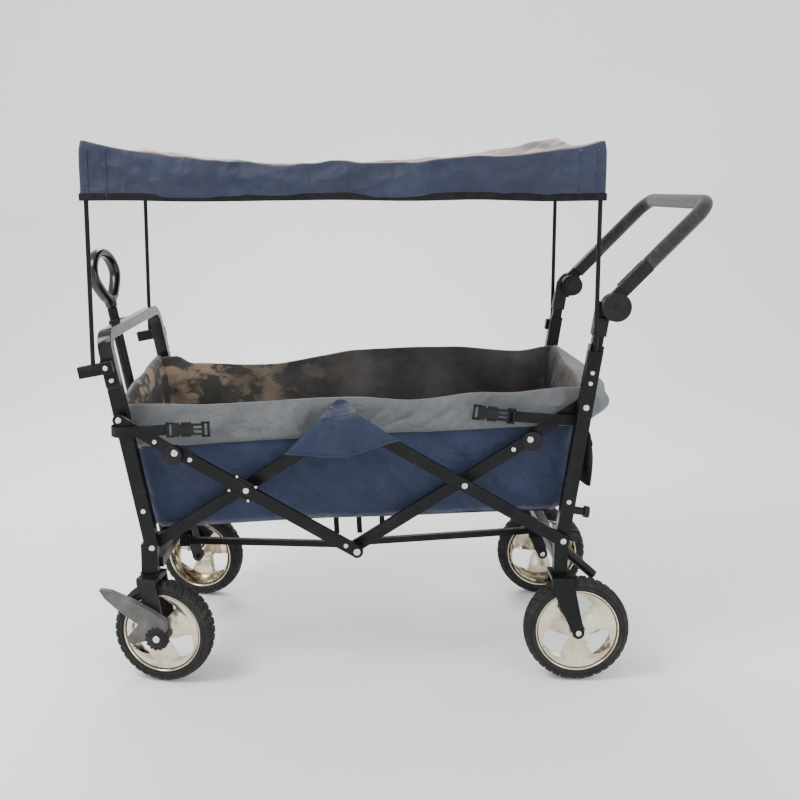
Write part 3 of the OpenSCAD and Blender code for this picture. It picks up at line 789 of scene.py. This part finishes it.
def make_collar(name, side):
    """The grey band above the navy wall: it bulges, rolls over the rim and comes down inside."""
    def place(a, b):
        row = collar_row(a)
        s = COLLAR_SECTION[row]
        z = RIM_Z + s.y
        p, n = side_plan(min(z, RIM_Z), b)
        drop = rim_wave(p.x, side)
        seam_drop = seam_z(p.x, side) - SEAM_Z
        middle = ease(0.0, 0.05, 0.42 - abs(p.x))
        rear_link = ease(0.16, 0.30, p.x)
        full = 0.3 + 0.7 * math.sin(math.pi * min(1.0, max(0.0, (s.y + 0.092) / 0.09)))
        q = Vector((p.x, side, z))
        slack = wrinkle(q, (0.10, 9, 0.06), 0.010, 11 + side)
        slack += wrinkle(q, (0.035, 9, 0.03), 0.0035, 14 + side)
        slack -= crease(Vector((q.x - 0.7 * q.z, q.y, q.z)), (0.07, 9, 0.2), 0.006, 17 + side)
        out = s.x * (0.8 - 0.75 * rear_link * (s.x > 0)) + slack * full * middle * (1 - 0.7 * rear_link)
        least = -0.001 if row < RIM_ROW else -0.006  # clear of the floor mats inside
        most = 0.004 if rear_link > 0.2 else 0.011  # and of the bars outside
        out = min(max(out, least), most)
        p = p + n * out
        share = ease(-0.092, -0.010, s.y)
        return link(p.x, side * p.y, z + drop * share + seam_drop * (1 - share))

    collar = grid(f"collar_{name}", len(COLLAR_SECTION), 170, place, GREY, LINING)
    line_inside(collar)
    orient_by(collar, Vector((0, side, 0)))
    thicken(collar, 0.0022, 0)
    smooth(collar)
    return collar


def line_inside(obj):
    """Gives the lining to the rows of a collar that lie inside the rim."""
    per_row = len(obj.data.polygons) // (len(COLLAR_SECTION) - 1)
    for polygon in obj.data.polygons:
        polygon.material_index = 1 if polygon.index // per_row > RIM_ROW else 0


def orient_by(obj, outward):
    """Turns faces so that those in the lower half of the sheet point outward."""
    rows = [p for p in obj.data.polygons if p.index < len(obj.data.polygons) // 3]
    if sum(p.normal.dot(outward) for p in rows) < 0:
        obj.data.flip_normals()


def end_sign(end):
    return -1 if end == "front" else 1


def make_end(end):
    """A basket end: navy below, a grey collar that rolls over the rim; the lining is its inner face."""
    sign = end_sign(end)
    half = WALL_Y - 0.010
    bulge = 0.008 if end == "front" else 0.070

    def lower(a, b):
        y = -half + 2 * half * b
        low = bottom_z(sign * HALF, -1)
        z = low + a * (SEAM_Z + 0.004 - low)
        q = Vector((sign, y, z))
        x = end_x(z) - 0.002 - 0.004 * (1 - a) + wrinkle(q, (9, 0.08, 0.07), 0.006, 21 + sign)
        return link(sign * x, y, z)

    def collar(a, b):
        s = COLLAR_SECTION[collar_row(a)]
        y = -half + 2 * half * b
        z = RIM_Z + s.y
        sides = math.sin(math.pi * b) ** 0.35
        full = math.sin(math.pi * min(1.0, max(0.0, (s.y + 0.092) / 0.1)))
        q = Vector((sign * 2, y, z))
        out = s.x + bulge * full * sides * (s.x > -0.004)
        out += wrinkle(q, (9, 0.07, 0.05), 0.009, 25 + sign) * full
        out -= crease(q, (9, 0.05, 0.14), 0.006, 29 + sign) * full
        x = end_x(min(z, RIM_Z)) + out - 0.002
        share = ease(-0.092, -0.010, s.y)
        rise = between(y, (-half, -0.016), (0.0, 0.002), (half, 0.018)) + wrinkle(q, (9, 0.08, 1), 0.006, 31)
        return link(sign * x, y, z + rise * share - 0.012 * (1 - share) * (end == "front"))

    low = grid(f"end_lower_{end}", 20, 56, lower, NAVY if end == "rear" else GREY, LINING)
    top = grid(f"end_collar_{end}", len(COLLAR_SECTION), 56, collar, GREY, LINING)
    line_inside(top)
    for obj, thick, offset in ((low, 0.0018, -1), (top, 0.0022, 0)):
        orient_by(obj, ALONG * sign)
        thicken(obj, thick, offset, 1 if obj is low else 0)
        smooth(obj)
    return low, top


def lining_seams(wall, side):
    """Horizontal and vertical seams on the inside of a side wall."""
    paths = []
    inner = side * (WALL_Y - 0.010)
    for z in (0.395, 0.455):
        paths.append([link(-0.40 + 0.80 * k / 90, inner, z) for k in range(91)])
    for x in (-0.27, -0.09, 0.09, 0.27):
        paths.append([link(x, inner, FLOOR_Z + 0.165 * k / 20) for k in range(21)])
    made = [seam(f"lining_{i}", wall, path, 0.004, LINING, 0.0018, -0.0026)
            for i, path in enumerate(paths)]
    return join(f"lining_seams_{'near' if side < 0 else 'far'}", made)


def make_basket():
    for name, side in SIDES.items():
        wall, collar = make_side(name, side), make_collar(name, side)
        seams = lining_seams(wall, side)
        piece(wall, "front_frame", "navy_fabric", "basket_sides")
        piece(collar, "front_frame", "grey_fabric", "collar_sides")
        piece(seams, "front_frame", "grey_fabric")
        for obj in (wall, collar, seams):
            fold_up(obj)
    for end in ("front", "rear"):
        low, top = make_end(end)
        body = f"{end}_frame"
        piece(low, body, "grey_fabric" if end == "front" else "navy_fabric", f"basket_{end}_panel")
        piece(top, body, "grey_fabric")


make_basket()


def make_floor():
    """A padded mat on each floor board, and the cloth under them."""
    for end in ("front", "rear"):
        low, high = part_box(f"floor_board_{end}")
        half_x, half_y = (high.x - low.x) / 2 - 0.001, (high.y - low.y) / 2 - 0.005
        middle = (low + high) / 2

        def place(a, b, top=True):
            u, v = 2 * a - 1, 2 * b - 1
            edge = max(abs(u), abs(v))
            swell = (1 - edge ** 8) ** 0.5 if edge < 1 else 0.0
            channel = 0.0035 * math.exp(-((abs(v) - 0.36) / 0.03) ** 2) * (edge < 0.97)
            lump = 0.002 * noise.noise(Vector((a * 7, b * 7, 4 if end == "front" else 9)))
            z = (0.0075 * swell - channel * swell + lump * swell) if top else -0.0045 * swell
            return middle + ALONG * (u * half_x) + Y * (v * half_y) + UPWARD * z

        rows, columns = 44, 44
        spots = [(i / (rows - 1), j / (columns - 1)) for i in range(rows) for j in range(columns)]
        tops = [place(a, b) for a, b in spots]
        unders = [place(a, b, False) for a, b in spots]
        faces = grid_faces(rows, columns)
        count = len(tops)
        faces += [tuple(k + count for k in reversed(f)) for f in faces]
        mat = mesh_object(f"floor_mat_{end}", tops + unders, faces, MATERIALS["board"])
        add_modifier(mat, "WELD", merge_threshold=0.0002)
        smooth(mat)
        piece(mat, f"{end}_board", "board", f"floor_board_{end}")

    for end, start in (("front", -0.408), ("rear", 0.030)):

        def under(a, b):
            x, y = start + 0.378 * a, -0.166 + 0.332 * b
            sag = 0.001 * math.sin(math.pi * a) * math.sin(math.pi * b)
            ripple = wrinkle(Vector((x, y, 0)), (0.08, 0.08, 1), 0.0008, 41)
            return link(x, y, FLOOR_Z - 0.0085 - sag + ripple)

        cloth = grid(f"floor_cloth_{end}", 34, 26, under, NAVY, LINING)
        thicken(cloth, 0.0014, 0)
        smooth(cloth)
        piece(cloth, f"{end}_board", "navy_fabric")


make_floor()

# ---- flaps, straps and buckles ----

FLAP_OUT = 0.2425


def make_flap(name, side):
    """The pointed navy flap that covers the top scissor pivot: it leaves the rim and hangs over the bars."""
    left, right, tip_x = (-0.140, 0.486), (0.090, 0.509), -0.028
    tip_z = RIM_Z + rim_wave(tip_x, -1) + 0.004

    def place(a, b):
        width = a ** 0.86
        x_low = left[0] + (right[0] - left[0]) * b
        z_low = left[1] + (right[1] - left[1]) * b - 0.017 * math.sin(math.pi * b) ** 1.4
        x_top = tip_x + (b - 0.5) * 0.010
        x = x_top + (x_low - x_top) * width
        z = tip_z + (z_low - tip_z) * a
        out = 0.180 + (FLAP_OUT - 0.180) * ease(0.0, 0.34, a)
        ridge = 0.006 * math.exp(-((b - 0.52) / 0.10) ** 2) * ease(0.1, 0.5, a)
        q = Vector((x, side, z))
        folds = 0.004 * ease(0.15, 0.6, a) * noise.noise(Vector((b * 5, a * 2, 5 + side)))
        drape = -0.014 * ease(0.7, 1.0, a) * abs(2 * b - 1) ** 2
        out += ridge + abs(folds) + max(drape, -0.004) + wrinkle(q, (0.03, 9, 0.03), 0.0008, 3)
        return link(x, side * out, z)

    flap = grid(f"flap_{name}", 26, 40, place, NAVY, NAVY)
    orient(flap, side)
    thicken(flap, 0.0016, 0)
    smooth(flap)
    hem_path = [place(1.0, k / 39) for k in range(40)]
    hem = sweep(f"flap_hem_{name}", hem_path, flat(0.006, 0.0035), Y, NAVY)
    return flap, hem


def make_strap(name, side, points):
    """Flat webbing through given points in the linkage's frame; its width runs up and down."""
    path = spline([link(x, side * y, z) for x, y, z in points], 6)
    return sweep(name, path, flat(0.022, 0.0022), Z, MATERIALS["webbing"])


def make_buckle(name, side, x, y, z, tilt=0.0):
    """A side-release buckle: two ladders for the webbing, a waisted body, prongs and release arms."""
    black = MATERIALS["black_plastic"]
    turn = math.radians(tilt)

    def block(cx, cz, w, h, t, lift=0.0):
        rings = []
        for k in (-1, 1):
            ring = []
            for sx, sz in ((-1, -1), (1, -1), (1, 1), (-1, 1)):
                u, v = cx + sx * w / 2, cz + sz * h / 2
                ring.append(link(x + u * math.cos(turn) - v * math.sin(turn), side * (y + lift + k * t / 2),
                                 z + u * math.sin(turn) + v * math.cos(turn)))
            rings.append(ring)
        return loft("part", rings, black)

    parts = [block(u, 0, 0.0045, 0.031, 0.0075) for u in (-0.041, -0.030, 0.030, 0.041)]
    parts += [block(u, v, 0.016, 0.0045, 0.0075) for u in (-0.0355, 0.0355) for v in (-0.0135, 0.0135)]
    parts += [block(-0.010, 0, 0.040, 0.020, 0.0085), block(-0.024, 0, 0.012, 0.029, 0.0088)]
    parts += [block(0.018, v, 0.026, 0.0052, 0.0065) for v in (-0.0095, 0.0095)]
    parts += [block(-0.004, v, 0.020, 0.0045, 0.0070) for v in (-0.0128, 0.0128)]
    parts += [block(0.018, 0, 0.022, 0.004, 0.0055), block(-0.012, 0, 0.018, 0.012, 0.0012, 0.0048)]
    obj = join(name, parts)
    if side > 0:
        obj.data.flip_normals()
    return round_edges(obj, 0.0012)


def make_trim():
    front_strap = [
        (-0.452, 0.1885, 0.536), (-0.478, 0.199, 0.536), (-0.491, 0.210, 0.537), (-0.490, 0.226, 0.538),
        (-0.474, 0.2475, 0.540), (-0.455, 0.2505, 0.541), (-0.43, 0.2505, 0.542), (-0.40, 0.2510, 0.543),
        (-0.372, 0.2510, 0.545),
    ]
    rear_strap = [
        (0.318, 0.2055, 0.546), (0.345, 0.2055, 0.543), (0.385, 0.2050, 0.539), (0.425, 0.2020, 0.535),
        (0.452, 0.1990, 0.533), (0.470, 0.1985, 0.533),
    ]
    for name, side in SIDES.items():
        flap, hem = make_flap(name, side)
        piece(flap, "front_frame", "navy_fabric", "side_flaps")
        piece(hem, "front_frame", "navy_fabric")
        front = make_strap(f"strap_front_{name}", side, front_strap)
        rear = make_strap(f"strap_rear_{name}", side, rear_strap)
        piece(front, "front_frame", "webbing", "straps")
        piece(rear, "rear_frame", "webbing", "straps")
        front_buckle = make_buckle(f"buckle_front_{name}", side, -0.330, 0.2515, 0.545)
        rear_buckle = make_buckle(f"buckle_rear_{name}", side, 0.286, 0.2070, 0.551, -8)
        piece(front_buckle, "front_frame", "black_plastic", "buckles")
        piece(rear_buckle, "rear_frame", "black_plastic", "buckles")
        for obj in (flap, hem):
            fold_up(obj)
        for obj in (front, front_buckle):
            fold_up(obj)


make_trim()


def make_floor_straps():
    """Three strips of webbing that hang from the floor to the struts under it."""
    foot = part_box("floor_straps")[0].z + 0.002
    parts = []
    for x in (-0.053, 0.0, 0.053):
        points = [link(x, 0.017, 0.332), link(x + 0.002, 0.0175, 0.30), link(x - 0.001, 0.017, 0.26),
                  link(x, 0.017, foot)]
        parts.append(sweep("strip", spline(points, 6), flat(0.012, 0.002), ALONG, MATERIALS["webbing"]))
    obj = join("floor_strips", parts)
    piece(obj, "front_frame", "webbing", "floor_straps")
    fold_up(obj)


make_floor_straps()


def make_pouch():
    """The slack black pouch that hangs behind the rear legs."""
    half, low, high, depth = 0.166, 0.097, 0.219, 0.026

    def ring(a):
        s = high + (low - high) * a
        sag = math.sin(math.pi * min(1, a * 1.15) * 0.86) ** 0.8
        made = []
        for k in range(72):
            turn = 2 * math.pi * k / 72
            c, v = math.cos(turn), math.sin(turn)
            y = half * math.copysign(abs(c) ** 0.35, c) * (1 - 0.03 * a)
            swell = (0.25 + 0.85 * sag) * math.copysign(abs(v) ** 0.8, v)
            x = 0.019 + depth / 2 + 0.022 * a + depth / 2 * swell
            q = Vector((v, y, s))
            x += wrinkle(q, (1.5, 0.06, 0.05), 0.005, 51) * sag * (v > 0)
            dip = 0.010 * math.cos(math.pi * y / (2 * half)) * a
            made.append(on_leg("rear", x, y, s - dip))
        return made

    bag = loft("rear_bag", [ring(k / 17) for k in range(18)], MATERIALS["webbing"])
    smooth(bag)
    piece(bag, "rear_frame", "webbing", "rear_pouch")
    back = 0.018 + depth * 1.02
    tape = [on_leg("rear", back, -half + 2 * half * k / 40, high - 0.026) for k in range(41)]
    flap = seam("rear_bag_tape", bag, tape, 0.010, MATERIALS["webbing"], 0.002, 0.001)
    piece(flap, "rear_frame", "webbing")


make_pouch()

# ---- wheels ----


def wheel_place(joint, side):
    """A wheel's own frame: Z outward along its axle and Y up."""
    axis = Vector(JOINTS[joint]["axis"])
    outward = axis * (1 if axis.y * side > 0 else -1)
    across = Z.cross(outward)
    made = Matrix((across, Z, outward)).transposed().to_4x4()
    made.translation = pivot(joint)
    return made


def spoke_half_angle(r, hub, edge):
    """Half the angle that a spoke takes up at radius r: it flares until the three meet at the edge."""
    share = (r - hub) / (edge - hub)
    wide = 0.0150 + 0.0230 * share ** 1.2
    free = math.asin(min(1.0, wide / r))
    return free + (math.pi / 3 - free) * ease(0.70, 1.0, share) ** 1.6


def make_rim(name, place, radius):
    """Three flared spokes, the plated ring, its dark barrel and the hub."""
    chrome = MATERIALS["rim_chrome"]
    edge, hub, spokes = radius - 0.028, 0.015, []
    rows, columns = 26, 22
    for turn in (-90, 30, 150):
        def top(a, b, turn=turn):
            r = hub + (edge - hub) * a
            half = spoke_half_angle(r, hub, edge)
            t = 2 * b - 1
            angle = math.radians(turn) + t * half
            share = (r - hub) / (edge - hub)
            crown = 0.0045 * (1 - abs(t) ** 3) * math.sin(math.pi * min(1, share * 1.05)) ** 0.6
            z = 0.0135 - 0.009 * ease(0.05, 0.55, share) + 0.005 * ease(0.7, 1.0, share) + crown
            return place @ Vector((r * math.cos(angle), r * math.sin(angle), z))
        spokes.append(grid("spoke", rows, columns, top, chrome))
    disc = join(f"{name}_spokes", spokes)
    add_modifier(disc, "WELD", merge_threshold=0.0004)
    thicken(disc, 0.0065, -1)
    round_edges(disc, 0.0012)
    outer = radius - 0.0225
    ring_profile = [
        (edge - 0.002, 0.006), (edge + 0.001, 0.012), (edge + 0.0015, 0.0185), (outer - 0.002, 0.0205),
        (outer, 0.0190), (outer, -0.0190), (outer - 0.002, -0.0205), (edge + 0.0015, -0.0185),
        (edge - 0.0005, -0.012), (edge - 0.001, 0.0),
    ]
    ring = revolve(f"{name}_ring", ring_profile, place, chrome, 128)
    barrel_profile = [
        (edge - 0.0030, 0.0065), (edge - 0.0022, 0.0050), (edge - 0.0022, -0.0150), (edge - 0.0045, -0.0150),
        (edge - 0.0052, -0.0060),
    ]
    hub_profile = [
        (0.0052, 0.0200), (0.012, 0.0200), (0.0165, 0.0185), (0.0195, 0.0150), (0.0200, 0.0080),
        (0.0175, 0.004), (0.0165, -0.0190), (0.0052, -0.0200),
    ]
    barrel_wall = revolve(f"{name}_barrel", barrel_profile, place, BARREL, 96)
    barrel = revolve(f"{name}_hub", hub_profile, place, chrome, 64)
    for obj in (ring, barrel, barrel_wall):
        obj.data.flip_normals()
        round_edges(obj, 0.0006)
    return [disc, ring, barrel, barrel_wall]


def tread_depth(turn, h, count):
    """How deep the tread is cut at an angle and a height across the tyre."""
    phase = (turn / (2 * math.pi) * count + abs(h) * 22 + (0.5 if h > 0 else 0.0)) % 1.0
    across = ease(0.05, 0.14, min(phase, 1 - phase))
    middle = ease(0.0012, 0.0030, abs(h))
    ring = ease(0.0012, 0.0026, abs(abs(h) - 0.0125))
    return 0.0032 * (1 - min(across, middle, ring))


def make_tyre(name, place, radius):
    """A tyre with a beaded side wall and staggered blocks across a crowned tread."""
    half = 0.022
    side_wall = [
        (-0.0220, -0.0020), (-0.0205, -0.0004), (-0.0175, 0.0000), (-0.0150, -0.0002), (-0.0143, -0.0016),
        (-0.0130, -0.0016), (-0.0122, -0.0002), (-0.0095, -0.0006), (-0.0070, -0.0022), (-0.0048, -0.0045),
    ]
    profile = [(radius + r, half + h) for r, h in side_wall]
    crown = 0.0160
    profile += [(radius - 0.0028 * (h / crown) ** 2, h) for h in (crown - crown * k / 12 for k in range(13))]
    profile += [(r, -h) for r, h in reversed(profile[:-1])]
    rings, count = [], 420
    for k in range(count):
        turn = 2 * math.pi * k / count
        ring = []
        for r, h in profile:
            cut = tread_depth(turn, h, 36) * ease(radius - 0.0085, radius - 0.0050, r)
            ring.append(place @ Vector(((r - cut) * math.cos(turn), (r - cut) * math.sin(turn), h)))
        rings.append(ring)
    obj = loft(name, rings, MATERIALS["tyre_rubber"], loop=True)
    obj.data.flip_normals()
    return obj


def make_wheels():
    for end in ("front", "rear"):
        for name, side in SIDES.items():
            joint, body = f"{end}_wheel_{name}_spin", f"{end}_wheel_{name}"
            place = wheel_place(joint, side)
            low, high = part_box(f"{end}_tyre_{name}")
            radius = (high.z - low.z) / 2
            tyre = make_tyre(f"tyre_{end}_{name}", place, radius)
            piece(tyre, body, "tyre_rubber", f"{end}_tyre_{name}")
            parts = make_rim(f"rim_{end}_{name}", place, radius)
            for obj in parts:
                piece(obj, body, "rim_chrome")
            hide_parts(f"{end}_rims_{name}")


make_wheels()

# ---- handles ----


def make_pull_grip():
    """A closed loop like a drop: round above, drawn in to the neck below, turned a little on its shaft."""
    up = Vector(JOINTS["pull_handle_extend"]["axis"]).normalized()
    base = pivot("pull_handle_swing")
    turn = math.radians(10)
    forward = Y.cross(up)
    across = Y * math.cos(turn) + forward * math.sin(turn)
    facing = across.cross(up)
    centre = base + up * (0.046 + 0.487 + 0.075)
    path = []
    for k in range(72):
        angle = 2 * math.pi * k / 72
        c, v = math.cos(angle), math.sin(angle)
        narrow = 1 - 0.34 * ease(0.1, -1.0, v)
        path.append(centre + across * (0.052 * c * narrow) + up * (0.050 * v if v > 0 else 0.056 * v))
    loop = sweep("loop", path, oval(0.0125, 0.0095, 20, 0.8), facing, MATERIALS["grip_gloss"], loop=True)
    rings = []
    for t in range(9):
        f = t / 8
        at = base + up * (0.046 + 0.4875 + 0.026 * f)
        thick, wide = 0.0125 + 0.001 * f, 0.0125 + 0.010 * ease(0, 1, f)
        rings.append([at + facing * (thick * math.cos(a)) + across * (wide * math.sin(a))
                      for a in (2 * math.pi * k / 28 for k in range(28))])
    obj = join("pull_loop", [loop, loft("neck", rings, MATERIALS["grip_gloss"])])
    smooth(obj)
    piece(obj, "pull_slider", "grip_gloss", "pull_grip")


make_pull_grip()


def dome(at, outward, radius, height, rings=5, count=20):
    """A domed rivet head that stands at a place and faces outward."""
    side = outward.cross(Z if abs(outward.z) < 0.9 else Y).normalized()
    other = outward.cross(side)
    made = []
    for i in range(rings + 1):
        turn = math.pi / 2 * i / rings
        r, h = radius * math.cos(turn) + 0.0002, height * math.sin(turn)
        made.append([at + side * (r * math.cos(a)) + other * (r * math.sin(a)) + outward * h
                     for a in (2 * math.pi * k / count for k in range(count))])
    return loft("rivet", [[p - outward * 0.0005 for p in made[0]]] + made, MATERIALS["rivet_steel"])


def disc(at, outward, radius, thick, material, count=32):
    side = outward.cross(Z).normalized()
    other = outward.cross(side)
    rings = []
    for r, h in ((radius, 0.0), (radius, thick * 0.6), (radius - thick * 0.5, thick)):
        rings.append([at + side * (r * math.cos(a)) + other * (r * math.sin(a)) + outward * h
                      for a in (2 * math.pi * k / count for k in range(count))])
    return loft("disc", rings, material)


def scissor_spots():
    """Places and sizes of the extra rivets on each bar: body, place, distance from the mid-plane, radius."""
    front, rear, top = pivot("bar_a_crossing"), pivot("bar_c_crossing"), pivot("bar_d_top")
    bottom = front + rear - top
    down_a, down_c = (bottom - front).normalized(), (bottom - rear).normalized()
    square_a = Vector((-down_a.z, 0, down_a.x))
    hinge_a, hinge_c = front - down_a * 0.1625, rear - down_c * 0.1625
    rivets = [
        ("front_links", hinge_a, 0.2466, 0.0072), ("bars_a", hinge_a + down_a * 0.033, 0.237, 0.0050),
        ("bars_a", bottom - down_a * 0.026, 0.237, 0.0046), ("bars_c", hinge_c, 0.2030, 0.0068),
        ("bars_c", hinge_c + down_c * 0.040, 0.201, 0.0050),
        ("front_links", hinge_a - down_a * 0.046, 0.245, 0.0046),
    ]
    rivets += [("bars_a", front + down_a * (along - 0.008) + square_a * across, 0.2365, 0.0028)
               for along in (-0.022, 0.022) for across in (-0.0165, 0.0165)]
    plates = [("front_links", hinge_a + Vector((-0.006, 0, -0.005)), 0.2450, 0.0205, 0.0016),
              ("bars_c", hinge_c + Vector((0.004, 0, -0.004)), 0.2010, 0.0205, 0.0020)]
    ears = [(front + down_a * -0.008 + square_a * across, down_a) for across in (-0.0155, 0.0155)]
    return rivets, plates, ears


def make_hardware():
    """Rivets, hinge plates and bracket ears that are too small for the frame's own nodes."""
    rivets, plates, ears = scissor_spots()
    for body in ("front_links", "bars_a", "bars_c"):
        parts = [dome(Vector((at.x, side * y, at.z)), side * Y, r, r * 0.5)
                 for side in SIDES.values() for owner, at, y, r in rivets if owner == body]
        piece(join(f"rivets_{body}", parts), body, "rivet_steel")
        parts = [disc(Vector((at.x, side * y, at.z)), side * Y, r, t, MATERIALS["black_plastic"])
                 for side in SIDES.values() for owner, at, y, r, t in plates if owner == body]
        if parts:
            piece(join(f"hinge_plates_{body}", parts), body, "black_plastic")
    strips = []
    for side in SIDES.values():
        for at, along in ears:
            middle = Vector((at.x, side * 0.2330, at.z))
            path = [middle + along * d for d in (-0.028, -0.014, 0.0, 0.014, 0.028)]
            strips.append(sweep("ear", path, flat(0.006, 0.0060), Y, MATERIALS["black_frame"]))
    piece(join("bracket_ears", strips), "bars_a", "black_frame")
    screws = [dome(on_leg("rear", 0, side * (LEG_Y + 0.011), s), side * Y, 0.0045, 0.0022)
              for side in SIDES.values() for s in (0.330, 0.352)]
    piece(join("riser_screws", screws), "rear_frame", "rivet_steel")


make_hardware()


def make_brake_gears():
    """The toothed brake ring at each front hub, with the cap of its axle."""
    for name, side in SIDES.items():
        place = wheel_place(f"front_wheel_{name}_spin", side)
        rings = []
        for h in (0.0330, 0.0350, 0.0455, 0.0475):
            rim = 0.0010 if h in (0.0330, 0.0475) else 0.0
            ring = []
            for k in range(112):
                turn = 2 * math.pi * k / 112
                tooth = 0.0225 + 0.0028 * ease(-0.35, 0.35, math.sin(14 * turn)) - rim
                ring.append(place @ Vector((tooth * math.cos(turn), tooth * math.sin(turn), h)))
            rings.append(ring)
        gear = loft(f"brake_gear_{name}", rings, MATERIALS["black_plastic"])
        piece(gear, f"brake_pedal_{name}", "black_plastic")
        cap = dome(place @ Vector((0, 0, 0.0475)), (place.to_3x3() @ Z).normalized(), 0.0075, 0.0035)
        cap.name = f"front_axle_cap_{name}"
        piece(cap, f"brake_pedal_{name}", "rivet_steel")


make_brake_gears()

# ---- floor and light ----


def make_stage():
    points, faces, bend, reach = [], [], 1.2, 7.0
    profile = [(-4.0, 0.0), (2.2, 0.0)]
    turns = [math.pi / 2 * k / 16 for k in range(1, 17)]
    profile += [(2.2 + bend * math.sin(a), bend * (1 - math.cos(a))) for a in turns]
    profile += [(2.2 + bend, 6.0)]
    for y, z in profile:
        points += [(-reach, y, z - 0.0005), (reach, y, z - 0.0005)]
    for i in range(len(profile) - 1):
        faces.append((2 * i, 2 * i + 1, 2 * i + 3, 2 * i + 2))
    s = Surface("pale_floor", 0.9)
    s.colour(s.ramp(s.cloud(2, 2), (0.3, (0.93, 0.93, 0.93)), (0.7, (0.96, 0.96, 0.96))))
    floor = mesh_object("pale_floor", points, faces, s.material)


def area_light(name, place, aim, size, power, colour=(1, 1, 1)):
    data = bpy.data.lights.new(name, "AREA")
    data.size = size
    data.energy = power
    data.color = colour
    light = bpy.data.objects.new(name, data)
    light.location = place
    light.rotation_euler = (Vector(aim) - Vector(place)).to_track_quat("-Z", "Y").to_euler()
    bpy.context.scene.collection.objects.link(light)


def make_lights():
    world = bpy.data.worlds.new("studio")
    world.use_nodes = True
    background = world.node_tree.nodes["Background"]
    background.inputs["Color"].default_value = (0.93, 0.96, 1.0, 1)
    background.inputs["Strength"].default_value = 1.15
    bpy.context.scene.world = world
    area_light("key", (-1.9, -1.2, 3.2), (0, 0, 0.5), 1.2, 95, (1.0, 0.96, 0.90))
    area_light("fill", (2.6, -2.6, 1.8), (0, 0, 0.5), 2.2, 40)
    area_light("back", (-0.6, 2.0, 2.6), (0, 0, 0.6), 1.4, 60, (1.0, 0.97, 0.92))


make_stage()
make_lights()
